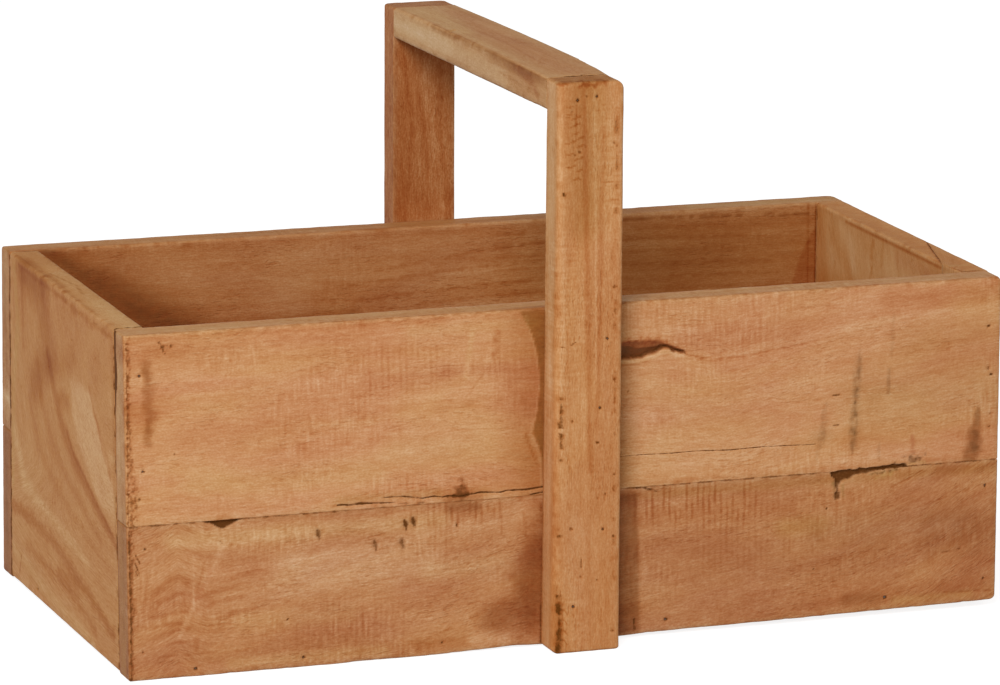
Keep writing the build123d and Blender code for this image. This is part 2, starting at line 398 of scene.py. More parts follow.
        # on the next row, (-128, 148, 2.2, 70, 0.36) is painted shade on the face just under the top arris
        (174, 143, 8, 26, 0.36, 0.15), (-128, 148, 2.2, 70, 0.36), (90, 136, 14, 24, 0.14),
        (-189, 142, 7, 14, 0.24), (168, 82, 10, 36, 0.24), (160, 114, 7, 36, 0.14), (118, 82, 8, 14, 0.2),
        (-195, 118, 13, 5, 0.36), (-84, 72, 4, 22, 0.16, -0.3, 0.06), (-50, 71, 4, 10, 0.3, -0.2),
        (-140, 143, 6, 50, 0.14, 0.1), (-45, 144, 5, 28, -0.14, -0.2), (-193, 112, 8, 3, 0.3),
        (116, 83, 6, 3, 0, 0, 0.08), (110, 69, 2.6, 90, 0.2),
    ),
)

FRONT_LOWER_MARKS = (
    # gouges along the seam
    Hollow(((-168, 68), (-163.5, 66.6), (-158.2, 63.8), (-153.5, 65.6), (-149.5, 67.6)),
           ((-168, 69), (-149.5, 69)),
           dark=0.85, grime=0.5, stain_and_shade=0.2, depth=1.6, soft=0.6, ragged=0.3),
    Hollow(((120.6, 66.8), (122.4, 64.6), (124.4, 62.4), (128.2, 63.5), (132, 65.3), (135.8, 66.2),
            (139.6, 65.9), (143.4, 66.7), (149, 67.2), (155, 67.6), (159, 68.4)),
           ((120.6, 69), (159, 69)),
           dark=0.72, grime=0.5, stain_and_shade=0.3, depth=1.6, soft=0.6, ragged=0.5),
    Stroke(((121, 67, 0.9), (132, 66.9, 0.8), (146, 67.2, 0.6), (158, 67.5, 0.4)), dark=0.8, ragged=0.6),
    Hollow(((122.6, 64.5), (123.1, 60), (123.7, 58.9), (122.7, 57.6), (123, 54.6)),
           ((125.6, 64.5), (125, 60), (124.6, 58.9), (125.8, 57.6), (125.2, 54.6)),
           dark=0.6, grime=0.5, depth=1.2, soft=0.6, ragged=0.4, upright=True),
    Stroke(((121.9, 62.8, 0.9), (122.2, 56.5, 0.9)), grime=0.3, red=-0.5, ragged=0.6, grit=1.2),
    Stroke(((126.4, 61.5, 0.9), (126.8, 55.5, 0.8)), grime=0.2, red=-0.5, ragged=0.6, grit=1.2),
    Stroke(((139, 65.2, 0.9), (145, 65.2, 1.6), (152, 66.6, 1.2)),
           red=-0.3, dark=0.4, grime=0.24, depth=0.3, ragged=0.9, grit=1.2),
    Stroke(((142, 63.4, 1.6), (150, 64.8, 1.8)), red=-0.4, ragged=0.8),
    Stroke(((28.5, 67.4, 0.4), (33, 67, 1), (36.5, 66, 1.1), (39.4, 64.8, 0.8)),
           dark=0.66, grime=0.2, depth=0.7, ragged=0.6, grit=1.2),
    # chips, ticks and holes
    *(
        Stroke(((first, second + 0.3, 0.9), (first + 0.3, second - 1.4, reach),
                (first + 0.9, second - 4.2, 0.8)),
               dark=dark, stain_and_shade=0.4, grime=grime, depth=0.4, ragged=0.2, grit=1.8)
        for first, second, reach, dark, grime in (
            (-115.6, 59.8, 2, 0.66, 0.3), (-76.5, 61, 2.1, 0.85, 0.3), (-72.8, 62, 2, 0.85, 0.3),
            (-90.2, 53.2, 2.3, 0.58, 0.3), (-77.9, 52.8, 2.4, 0.52, 0.3),
        )
    ),
    hole(-52.8, 57.2, 0.7, 0.5), hole(119.1, 51, 0.9, 0.6), hole(113.3, 24, 0.8, 0.6),
    fleck(133, 31.8, 0.6, 0.5), hole(-129.3, 21.9, 0.6, 0.5), fleck(-196.5, 30, 0.7, 0.5),
    Stroke(((-158.8, 61, 0.7), (-156.6, 60.6, 0.7)), stain_and_shade=0.6, ragged=0.5),
    Stroke(((-158.9, 58.4, 0.9), (-157.8, 57.2, 0.6)), dark=0.45, stain_and_shade=0.4, depth=0.3, ragged=0.5),
    Stroke(((-157, 57.4, 0.5), (-151, 55.9, 0.4)), stain_and_shade=0.5),
    *(
        Stroke(((first, second, 0.55), (first + 0.9, second - 2.3, 0.5)),
               dark=0.7, stain_and_shade=0.5, depth=0.2, ragged=0.3, grit=1.2)
        for first, second in ((-196.3, 55.4), (-195.4, 53.9), (-196.4, 51.4), (-195.5, 49), (-196.3, 48.4))
    ),
    Stroke(((171.6, 26.5, 0.4), (177, 27, 0.6), (183.2, 27.8, 0.4)),
           dark=0.6, stain_and_shade=0.4, depth=0.5, ragged=0.3),
    Stroke(((148.4, 58.1, 0.4), (154, 60.4, 0.5), (159.4, 62.5, 0.5), (164, 65, 0.5)),
           stain_and_shade=0.85, depth=0.2, ragged=0.3),
    Stroke(((163.9, 49.2, 0.45), (176.7, 52.4, 0.5)), stain_and_shade=0.5, ragged=0.3),
    Stroke(((172, 8.6, 0.5), (198, 7.8, 0.6)), stain_and_shade=0.6, depth=0.3, ragged=0.4, broken=0.2),
    Stroke(((41, 62.4, 0.9), (49.8, 57.8, 0.8)), stain_and_shade=-0.4, red=0.1),
    Stroke(((29, 8.6, 0.5), (29.2, 4.4, 1.2)), dark=0.75, stain_and_shade=0.4, depth=0.8, ragged=0.3),
    # pits and the dark line along the left arris
    Stroke(((-198.4, 67, 1.6), (-198.3, 40, 1.8), (-198.4, 1, 1.4)),
           dark=0.44, stain_and_shade=0.6, red=0.1, ragged=0.7, grit=0.9),
    Stroke(((-199.2, 66, 0.7), (-198.9, 45, 0.9), (-198.6, 40, 1.1), (-198.8, 0, 0.9)),
           dark=0.64, stain_and_shade=0.5, ragged=0.5, grit=1.2),
    # scratches and the swirl of a small knot near the left end
    Stroke(((-157.6, 56.5, 2.4), (-165, 42.4, 2.6), (-172.5, 28, 2.2), (-177, 18, 1.6)),
           stain_and_shade=-0.34, soft=0.9),
    Stroke(((-170.7, 52, 1), (-171.2, 30, 1)), stain_and_shade=-0.25),
    Stroke(((-166, 50, 0.7), (-170, 34, 0.7)), stain_and_shade=0.35),
    Stroke(((-163, 47, 1.4), (-166.5, 39, 2), (-170, 33, 1.4)), stain_and_shade=0.36, red=0.25, ragged=0.4),
    Stroke(((-187.4, 38.5, 1.8), (-183.1, 42.3, 2.4), (-176.9, 44.3, 2), (-173.1, 42, 1.6)),
           stain_and_shade=0.32, red=0.1, ragged=0.5),
    Stroke(((-186, 33, 1.4), (-180, 36.6, 1.8), (-175, 37.4, 1.3)), stain_and_shade=0.3, ragged=0.5),
    *(
        Stroke(((first, second, 1.1), (first + 8, second + rise, 1.5), (first + 17, second + 1.6 * rise, 1)),
               stain_and_shade=stain_and_shade, red=0.1, ragged=0.5, grit=1.4)
        for first, second, rise, stain_and_shade in (
            (-165, 30.6, 1.8, 0.4), (-168, 34.5, 2.4, 0.28), (-160, 25, 2, 0.28), (-158, 40.5, 2.6, 0.24),
            (-189.4, 27.4, 1.1, 0.3), (-192.5, 23.2, 0.7, 0.36), (-189.5, 18.8, 1.8, 0.3),
            (-186, 14.5, 1, 0.24),
        )
    ),
    Stroke(((-169.4, 17, 1.2), (-170.2, 10.8, 1.8)), stain_and_shade=0.45, ragged=0.5),
    Stroke(((-186, 10, 0.6), (-168, 10, 0.7), (-148, 9.8, 0.6)), stain_and_shade=0.4, ragged=0.5, broken=0.2),
    *clouds((-178, 33, 12, 8, 0.2, 0.2), (-150, 45, 8, 12, 0.08, 0.2)),
    # slanting tear-out left of the upright
    *(
        Stroke(((-66 + 3.4 * step, 8 + 0.9 * step, 0.5), (-54 + 3.6 * step, 12.5 + 1.7 * step, 0.6)),
               stain_and_shade=0.34, ragged=0.6, broken=0.3, grit=1.4)
        for step in range(12)
    ),
    # darker heartwood left of the upright, a stained strip down its right side with painted shadow that the
    # upright casts over it, and tone bands further right
    Stroke(((-12, 58, 13), (-14, 40, 17), (-17, 26, 19), (-22, 16, 17), (-36, 14, 11)),
           stain_and_shade=0.52, red=0.2, grime=0.18),
    Stroke(((-17, 44, 8), (-21, 30, 12), (-19, 12, 7)), stain_and_shade=0.5, red=0.1, grime=0.12, ragged=0.2, grit=4),
    Stroke(((-14.2, 66, 0.8), (-14, 34, 0.8), (-14.4, 2, 1.2)), dark=0.55, stain_and_shade=0.7, ragged=0.3),
    Stroke(((-33, 66, 0.8), (-32.5, 52, 0.7)), stain_and_shade=0.45),
    Stroke(((-22, 60, 1), (-21.5, 50, 0.8)), stain_and_shade=0.45),
    # stained strip down the upright's right side, and a broader painted shadow that the upright casts over
    # it
    Hollow(((14, 1), (14, 66.5)), ((31.4, 1), (30, 66.5)), stain_and_shade=0.5, grime=0.26, soft=2.4, upright=True),
    Stroke(((14, 67, 11), (14, 40, 13), (14, 0, 13)), stain_and_shade=0.8, grime=0.1),
    *seam_dirt(67.3),
    Stroke(((32, 54, 9), (110, 54, 9), (196, 52, 10)), stain_and_shade=0.2, red=0.2),
    Stroke(((70, 5, 7), (198, 8, 8)), stain_and_shade=0.22),
    *clouds(
        (-58, 28, 9, 18, 0.02, 0.1), (-100, 42, 20, 26, -0.36, -0.1), (-120, 60, 7, 60, -0.24, -0.3),
        (-110, 8, 8, 60, 0.08, -0.1), (-125, 22, 7, 24, -0.2, -0.2), (50, 40, 14, 20, 0.1, 0.2, 0.04),
        (100, 30, 15, 40, 0.12, 0.15, 0.06), (150, 42, 14, 34, 0.1, 0.1, 0.1), (150, 12, 9, 40, 0.2, 0.2),
        (186, 35, 16, 16, 0.28, 0, 0.08), (108, 44, 9, 8, 0.16, -0.4), (136, 9, 5, 7, 0.3, 0, 0.15),
        (170, 7, 4, 18, -0.1, -0.4), (165, 30, 34, 40, 0.1), (-46, 38, 9, 18, -0.36, -0.2),
        (-38, 6, 5, 8, -0.3), (168, 38, 6, 12, -0.3, 0.1), (-50, 65, 4, 6, 0.6, 0, 0.2),
        (-172, 22, 6, 12, 0.2), (-36, 20, 6, 7, 0.3), (185, 22, 6, 14, 0.2, 0.2), (24, 12, 8, 4, 0.4),
        (110, 64, 4, 90, 0.3, -0.2, 0.05), (185, 64, 6, 12, 0.3), (22, 64, 6, 5, 0.5), (-60, 5, 5, 10, 0.4),
        (-120, 4, 5, 34, -0.24, -0.3),
    ),
)

# Top of the front wall, in x and y
FRONT_RIM_MARKS = (
    Stroke(((-199, -100, 0.9), (199, -100, 0.9)), stain_and_shade=0.4, grime=0.06, ragged=0.8),
    Stroke(((-196, -92, 0.9), (-60, -94, 1.1), (20, -92, 0.9), (190, -93, 1.1)), stain_and_shade=0.22, ragged=0.5),
    Stroke(((-199.5, -86.4, 0.8), (-193, -86.6, 1.4), (-186, -86.8, 1)), dark=0.85, ragged=0.5),
    Stroke(((187, -86.6, 0.8), (199.5, -86.4, 0.8)), dark=0.6, ragged=0.5),
    *clouds((0, -93.5, 12, 200, 0, -0.35, 0.05)),
)
BACK_RIM_MARKS = (
    *clouds((0, 93.5, 12, 200, 0, -0.3, 0.06), (170, 93.5, 10, 40, -0.1, -0.3)),
)

# Ends of the long boards: dirt along the joint with the end boards
LONG_END_MARKS = (
    *(
        Stroke(((side * 86.6, 149, 1), (side * 86.8, 75, 1), (side * 86.6, 2, 0.9)),
               dark=0.66, stain_and_shade=0.5, ragged=0.7, broken=0.12, grit=2, soft=0.7)
        for side in (-1, 1)
    ),
    *(
        Stroke(((side * 95, 140, 2.6), (side * 93, 100, 2.8), (side * 96, 60, 2.4), (side * 93, 20, 2.6)),
               stain_and_shade=0.2, grime=0.05, ragged=0.8)
        for side in (-1, 1)
    ),
)
# Left ends of the long boards, which have their own tones and a crevice
LEFT_LONG_END_MARKS = LONG_END_MARKS + (
    Stroke(((-87.6, 149, 2.4), (-88.4, 134, 2.6), (-87.4, 116, 1.4)),
           dark=0.9, stain_and_shade=0.5, depth=0.6, ragged=0.5, soft=0.5),
    Stroke(((-93, 149, 9), (-93, 74, 9)), stain_and_shade=-0.26, red=-0.4),
    Stroke(((-93, 64, 9), (-93, 0, 9)), stain_and_shade=0.42, red=-0.9),
    Stroke(((93, 149, 9), (93, 74, 9)), stain_and_shade=-0.12, red=-0.5),
    Stroke(((93, 64, 9), (93, 0, 9)), stain_and_shade=0.44, grime=0.14, red=-0.5),
    *clouds((93, 82, 7, 6, -0.9), (-93, 143, 7, 6, 0.7)),
)

UPRIGHT_MARKS = (
    # pits, ticks and chips
    *(
        fleck(first, second, reach, dark)
        for first, second, reach, dark in (
            (0, 243.8, 0.6, 0.6), (-8.5, 240.1, 0.6, 0.45), (-6.7, 237.4, 0.6, 0.45),
            (-4.7, 235.6, 0.6, 0.45), (-7.6, 234.9, 0.6, 0.45), (-8.4, 223.7, 0.7, 0.5),
            (-5.7, 221.9, 0.7, 0.5), (-3, 220, 0.7, 0.5), (-0.3, 222, 0.6, 0.45), (-5.3, 218.8, 0.7, 0.5),
            (-8.7, 213.3, 1.1, 0.55), (-2.7, 208, 0.6, 0.45), (-10, 201.9, 1.3, 0.75),
            (-9.7, 186.4, 0.8, 0.6), (13, 223, 1.1, 0.5), (-9.9, 135.3, 0.8, 0.6), (13.1, 160.5, 0.8, 0.55),
            (-10.9, 113, 0.8, 0.6), (-10.5, 107.3, 1.2, 0.7), (-11.3, 97.3, 1.2, 0.8), (-11.2, 91, 0.8, 0.6),
            (-5.5, 102.5, 0.7, 0.5), (6, 92.7, 0.9, 0.6), (13.4, 120.1, 0.8, 0.55), (-10.4, 86.1, 0.9, 0.65),
            (13.6, 78.1, 1, 0.65), (9.7, 69.5, 0.9, 0.65), (6, 68, 0.7, 0.55), (-6.2, 55.3, 0.8, 0.55),
            (13.4, 50.7, 1, 0.6), (-11.4, 52.4, 1, 0.6), (-1.5, 33.5, 0.7, 0.5), (6, 31.7, 0.7, 0.55),
            (-11.2, 19.4, 1, 0.6), (-10.6, 12.6, 1.2, 0.7), (-11.6, 4.2, 1.2, 0.6), (13.4, 8.4, 1, 0.6),
        )
    ),
    Stroke(((-11, 116, 1), (-10.8, 104, 1.7), (-11.2, 92, 1.2)),
           dark=0.58, stain_and_shade=0.6, ragged=0.9, broken=0.25, grit=2),
    Stroke(((-11.8, 62, 1), (-11.6, 44, 1.1)), dark=0.4, stain_and_shade=0.6, ragged=0.9, broken=0.3, grit=2.2),
    Stroke(((-13.7, 184.7, 0.7), (-14.8, 180, 0.6)), dark=0.6, ragged=0.4),
    Stroke(((-10.2, 184.5, 0.6), (-10.2, 181, 0.6)), dark=0.55, stain_and_shade=0.4, ragged=0.4),
    Stroke(((-6.8, 135.9, 0.6), (-4.3, 137.3, 0.7)), dark=0.65, stain_and_shade=0.4, depth=0.3, ragged=0.3),
    Stroke(((-1.2, 41.6, 0.6), (-1.2, 37.6, 0.6)), dark=0.6, stain_and_shade=0.4, depth=0.3, ragged=0.4),
    Stroke(((-12.1, 26, 0.8), (-11.4, 12, 1.5), (-12.1, 0, 1.4)),
           dark=0.72, stain_and_shade=0.8, grime=0.1, depth=0.3, ragged=0.9, grit=2.4),
    Stroke(((-12.6, 30, 1.6), (-11.8, 12, 3.2), (-12.4, 0, 3)), stain_and_shade=0.5, grime=0.1),
    *(
        Stroke(((-11.5, height, 0.7), (-7.6, height - 5.5, 0.45)),
               stain_and_shade=0.9, dark=0.3, ragged=0.4, grit=1.2)
        for height in (23, 18.5, 14, 9.5)
    ),
    Stroke(((13.6, 235, 0.9), (13.6, 120, 0.9), (13.2, 4, 1.2)),
           dark=0.38, stain_and_shade=0.5, ragged=0.9, broken=0.5, grit=2),
    Stroke(((7.9, 19, 0.6), (7.9, 12.8, 0.6)), stain_and_shade=0.6, ragged=0.4),
    # saw ticks in the top third, drawn slantwise, and level saw lines beside them
    *(
        Stroke(((first, height, 0.45), (first + reach, height + 0.36 * reach, 0.6)),
               stain_and_shade=0.8, dark=0.1, ragged=0.7, grit=1.1)
        for first, height, reach in (
            (-7.4, 239.4, 3), (-8.8, 235.8, 2.2), (-7, 233.9, 4), (-5.2, 231.6, 2.2), (-8.4, 230.4, 3.6),
            (-6.6, 227.4, 4.6), (-4, 225.6, 2.4), (-7.8, 224, 3), (-6.2, 221.2, 4.8), (-8.6, 218.6, 2.4),
            (-5.4, 216.4, 3.6), (-7.4, 213.4, 3), (-4.6, 211.4, 2.6), (-6.8, 207.6, 3.2),
        )
    ),
    Stroke(((-4.6, 240, 0.6), (-5, 226, 0.6)), stain_and_shade=0.6, ragged=0.5, broken=0.2),
    *(
        Stroke(((first, height, 0.45), (14, height + 0.4, 0.45)),
               stain_and_shade=0.45, ragged=0.5, broken=0.3, grit=1.3)
        for height, first in (
            (240, 7), (237.5, 4), (234, 8), (229, 6), (225.5, 3), (221, 7), (216, 9), (206, 5), (198, 8),
        )
    ),
    # stripes of figure
    Stroke(((-1.4, 249, 1.5), (-0.2, 200, 2.2), (1.4, 140, 2.4), (2.6, 80, 2)), stain_and_shade=0.42, red=0.15),
    Stroke(((7.5, 230, 2), (6.6, 160, 2.2), (5.5, 100, 2)), stain_and_shade=0.24, red=0.15),
    Stroke(((-11.5, 240, 1.6), (-10.6, 170, 1.8), (-9.6, 60, 1.8)), stain_and_shade=-0.34),
    Stroke(((3.2, 246, 1), (4.2, 200, 1.1), (5, 120, 0.8)), stain_and_shade=-0.3),
    Stroke(((0, 249, 16), (0, 220, 16), (0, 190, 14)), stain_and_shade=0.34, red=-0.2, grime=0.13),
    Stroke(((-13.4, 160, 1.4), (-13.4, 120, 1.8), (-13.4, 4, 2)), stain_and_shade=0.26),
    Stroke(((-12, 249, 1.6), (-2, 248.8, 1.4), (8, 248.6, 1.6)),
           dark=0.3, stain_and_shade=0.9, red=0.4, ragged=1, broken=0.4),
    *clouds((4, 100, 4, 1, 0.1), (0, 50, 16, 1, -0.18)),
)
# Top of the handle, in x and y: the crack where the bar meets the upright, and red-brown smudges before it
UPRIGHT_TOP_MARKS = (
    Stroke(((-13, -115, 1.6), (0, -114.6, 2), (9, -115, 1.6)),
           stain_and_shade=0.8, red=0.5, dark=0.25, ragged=0.9, broken=0.35),
    Stroke(((-6, -101.8, 0.9), (-3, -101.8, 1.7), (4, -101.8, 1.5), (11, -101.8, 0.8)),
           dark=0.95, ragged=0.4),
    Stroke(((-12, -102.4, 0.7), (12, -101.8, 0.7)), dark=0.7, ragged=0.6),
    *clouds((0, -108, 8, 14, 0.2, 0, 0.1)),
)

LEFT_END_MARKS = (
    # pale tongue of sapwood between darker growth bands
    Hollow(((-45, 118), (-58, 107), (-67, 98), (-76, 89), (-82, 80), (-85, 71), (-86, 64)),
           ((-16, 112), (-17, 104), (-19, 98), (-27, 88), (-39, 81), (-57, 70), (-78, 62)),
           stain_and_shade=-0.42, red=0.1, soft=6, ragged=1.2, upright=True),
    Stroke(((22, 118, 5), (10, 102, 7), (1, 91, 8), (-20, 78, 7), (-51, 67, 5.6), (-84, 56, 4)), stain_and_shade=0.72),
    Stroke(((-46, 116, 2.2), (-54, 107, 3), (-66, 97, 3.4), (-78, 85, 2.8)), stain_and_shade=0.5),
    Stroke(((-7, 90, 1.6), (-17, 82, 2), (-35, 75.6, 1.8), (-56, 67, 1.6), (-79, 59, 1.2)),
           stain_and_shade=0.6, ragged=0.4),
    Stroke(((-51, 109, 1.2), (-59, 102, 1.6), (-66, 92, 1.8), (-78, 83, 1.4)), stain_and_shade=0.5, ragged=0.4),
    Stroke(((40, 110, 6), (32, 94, 6.6), (16, 80, 7), (2, 71, 6), (-22, 64, 5), (-60, 52, 4.4)), stain_and_shade=0.3),
    Stroke(((54, 92, 6), (38, 72, 6), (12, 60, 5.6), (-30, 50, 5), (-80, 42, 4.6)), stain_and_shade=0.22),
    Stroke(((78, 70, 8), (64, 50, 8), (30, 46, 6), (-6, 42, 5), (-40, 37, 4)), stain_and_shade=-0.34, red=-0.1),
    Stroke(((88, 35, 5), (51, 36, 6), (19, 34, 6), (-12, 29, 6), (-43, 23, 5.6), (-78, 15, 4.6)),
           stain_and_shade=0.7, ragged=0.2),
    Stroke(((60, 22, 4), (20, 20, 5), (-10, 18, 5), (-50, 10, 4)), stain_and_shade=0.4, ragged=0.3),
    Stroke(((84, 16, 6), (40, 10, 6), (0, 6, 6), (-50, 3, 4)), stain_and_shade=-0.2, red=-0.2),
    Stroke(((30, 146, 7), (22, 138, 6)), stain_and_shade=0.34),
    Stroke(((80, 138, 26), (-80, 138, 26)), stain_and_shade=0.1, red=0.1),
    *clouds((-81, 93, 5, 3, -0.36), (-4, 102, 7, 6, 0.5), (-8, 22, 8, 14, 0.44), (40, 27, 6, 14, 0.16)),
    # browner upper half, yellower edge towards the back
    Stroke(((60, 146, 16), (34, 140, 16), (20, 118, 20), (44, 100, 16)), stain_and_shade=0.58, grime=0.05),
    Stroke(((20, 112, 10), (-4, 118, 10), (-20, 124, 9)), stain_and_shade=0.34),
    Stroke(((74, 146, 7), (20, 146, 8)), stain_and_shade=0.3, grime=0.06),
    Stroke(((78, 146, 5), (72, 122, 6), (80, 94, 6), (83, 46, 4)), red=-0.5),
    Stroke(((65, 146, 3.5), (63, 112, 3.5)), stain_and_shade=0.3),
    Stroke(((-84, 148, 4), (-84, 100, 4), (-84, 60, 2.6)), stain_and_shade=0.3),
    # chips along the rim, a scratch by the foot and dirt in the two upright joints
    fleck(-18.4, 131.9, 0.7, 0.5), fleck(-33, 147, 0.9, 0.5), fleck(-49, 146.9, 0.9, 0.55),
    fleck(20, 112, 0.7, 0.4),
    Stroke(((-10, 146.8, 1.8), (-50, 145.6, 2.6), (-84, 146, 2)), stain_and_shade=0.5, ragged=0.6, grit=4),
    Stroke(((-30, 147.6, 0.8), (-56, 147, 1), (-76, 147.4, 0.8)),
           dark=0.36, stain_and_shade=0.4, ragged=0.8, broken=0.5, grit=3),
    Stroke(((70, 148, 2), (20, 147.6, 2.2), (-10, 147.4, 1.8)), stain_and_shade=0.6, ragged=0.5, grit=6),
    Stroke(((69.6, 15, 0.9), (73.6, 5, 0.8)), stain_and_shade=0.8, ragged=0.4),
    *(
        Stroke(((side * 85.5, 148, 0.9), (side * 85.5, 75, 0.8), (side * 85.5, 2, 0.7)),
               dark=0.6, stain_and_shade=0.5, ragged=0.7, broken=0.25, grit=2)
        for side in (-1, 1)
    ),
)
# Top of the left end, in x and y: handled grey, darker along the edges, with dirt in the joints
LEFT_RIM_MARKS = (
    Stroke(((-193, 90, 12), (-193, 50, 12)), stain_and_shade=0.1, red=-0.1),
    Stroke(((-193, 32, 12), (-193, -26, 12)), stain_and_shade=-0.12, red=-0.2),
    Stroke(((-193, -36, 12), (-193, -90, 12)), stain_and_shade=-0.3, red=-0.3),
    Stroke(((-199.5, 80, 1.4), (-198.8, 44, 1.8), (-198.2, 14, 2.2), (-199.2, -16, 1.8), (-199.8, -60, 1.2)),
           stain_and_shade=0.4, grime=0.06, ragged=0.6, broken=0.2, grit=5),
    Stroke(((-196, 34, 0.8), (-192, 6, 0.9), (-194, -14, 0.8)), stain_and_shade=0.6, grime=0.1, ragged=0.3),
    Stroke(((-187, 86, 1.2), (-187, -86, 1.2)), stain_and_shade=0.5, grime=0.16, ragged=0.3, grit=4),
    Stroke(((-200, -85.4, 0.9), (-193, -85, 1.4), (-187, -85.4, 1.2)), dark=0.8, ragged=0.5),
    Stroke(((-198, 85.5, 0.6), (-187, 85.4, 1)), dark=0.7, ragged=0.5),
)

RIGHT_END_MARKS = (
    Stroke(((60, 120, 9), (20, 100, 10), (-40, 92, 8)), stain_and_shade=0.25, red=0.2),
    Stroke(((70, 60, 7), (10, 48, 8), (-60, 44, 6)), stain_and_shade=0.3),
    Stroke(((40, 80, 7), (-20, 70, 8)), stain_and_shade=-0.2),
    Stroke(((80, 20, 6), (0, 14, 6), (-80, 10, 5)), stain_and_shade=-0.15),
    *(
        Stroke(((side * 85.6, 148, 0.7), (side * 85.6, 75, 0.7), (side * 85.6, 2, 0.6)),
               dark=0.55, stain_and_shade=0.5, ragged=0.7, broken=0.4, grit=1.4)
        for side in (-1, 1)
    ),
)
# Top of the right end, in x and y, with the scarf joint of its repair piece
RIGHT_RIM_MARKS = (
    Stroke(((193, 90, 12), (193, -90, 12)), stain_and_shade=0.24, grime=0.05),
    Stroke(((187.6, 50, 0.7), (187.4, -64, 0.8)), dark=0.3, stain_and_shade=0.8, ragged=0.3),
    Stroke(((201.8, -13, 0.6), (194, -40, 0.6), (187, -66, 0.6)), dark=0.6, stain_and_shade=0.7, ragged=0.4, soft=0.7),
    Stroke(((187.2, -66, 0.6), (188.4, -85, 0.6)), dark=0.46, stain_and_shade=0.8, ragged=0.3),
    Stroke(((188, -85.5, 0.9), (199, -85.4, 0.9)), dark=0.75),
    *clouds((190, -72, 3, 6, -0.2, -0.3)),
)

# Inside faces: the back wall's, in x and z, and the right end's, in y and z
BACK_INNER_MARKS = (
    # painted shadow that the left end board casts across the inner face, darkest in its corner and fading
    # down and to the right, and painted shade lower on the wall
    Stroke(((-186, 151, 5), (-168, 138, 10), (-146, 123, 15), (-122, 106, 20)), stain_and_shade=0.66, grime=0.32),
    Stroke(((-180, 152, 14), (-150, 132, 22), (-118, 108, 26)), stain_and_shade=0.3, grime=0.12),
    Stroke(((-130, 104, 13), (-90, 106, 12), (-40, 110, 8)), stain_and_shade=0.5, grime=0.16),
    *(
        Stroke(((-40 + shift, low, 1), (10 + shift, low + rise, 1.2), (58 + shift, low + 1.6 * rise, 1)),
               stain_and_shade=0.35, ragged=0.6, broken=0.2)
        for low, rise, shift in ((131, 6, 8), (125, 4, -4), (118, 3, 2), (113, 3, 14))
    ),
    Stroke(((86, 148, 0.8), (137, 146.8, 1), (185, 145, 0.8)),
           stain_and_shade=0.6, grime=0.2, ragged=0.4, broken=0.15),
    *(
        Stroke(((30, low + 1, 0.9), (140, low - 1.6, 1.3), (reach, low - 3, 0.8)),
               stain_and_shade=0.34, ragged=0.5, broken=0.15)
        for low, reach in ((144, 160), (139, 164), (133, 158), (127, 166), (121, 170), (115, 176))
    ),
    Hollow(((176.6, 108), (177.5, 114), (181.9, 127), (188, 138)),
           ((190, 108), (190, 138)),
           stain_and_shade=0.3, red=0.2, soft=1.2, upright=True),
    Stroke(((188.8, 150, 0.8), (188.6, 108, 0.8)), dark=0.46, stain_and_shade=0.8, ragged=0.3),
    Stroke(((184.8, 150, 0.8), (185, 108, 0.8)), stain_and_shade=0.6, ragged=0.4, broken=0.1),
    *clouds(
        (-104, 136, 12, 40, -0.1), (-30, 125, 30, 40, -0.22), (-40, 121, 12, 14, 0.3, 0.1),
        (130, 128, 44, 70, 0.32, -0.3, 0.06),
    ),
)
RIGHT_INNER_MARKS = (
    # painted light: the whole inner face lightened, lifting the shade that it lies in
    Stroke(((90, 130, 40), (0, 130, 40), (-90, 130, 40)), stain_and_shade=-0.42),
    Stroke(((84, 150, 12), (80, 128, 14), (74, 104, 16)), stain_and_shade=0.5),
    Stroke(((66, 138, 8), (48, 128, 9), (34, 112, 9)), stain_and_shade=0.26),
    Stroke(((56, 146, 5), (46, 140, 7), (40, 128, 6)), stain_and_shade=-0.2),
    Stroke(((22, 134, 5), (16, 118, 6)), stain_and_shade=-0.2),
    Stroke(((16, 146, 2.4), (17, 134, 2.6), (19, 124, 2)), stain_and_shade=0.4, ragged=0.6, broken=0.2),
    Stroke(((4, 147, 2), (5, 136, 1.8)), stain_and_shade=0.28, ragged=0.5, broken=0.2),
    Stroke(((-14, 145, 1.8), (-13, 138, 1.6)), stain_and_shade=0.26, ragged=0.5),
    Stroke(((84.8, 150, 0.6), (84.8, 105, 0.6)), dark=0.4, stain_and_shade=0.5, ragged=0.4),
    Stroke(((50, 148, 0.8), (-64, 147.6, 0.9)), stain_and_shade=0.9, red=0.3, ragged=0.3),
    *clouds(
        (62, 112, 14, 12, 0.4), (-6, 128, 6, 6, 0.2, 0.2), (-30, 142, 8, 16, 0.1, 0.3),
        (-58, 141, 8, 8, 0.3, 0.3), (-76, 143, 6, 5, -0.5, -0.3),
    ),
)

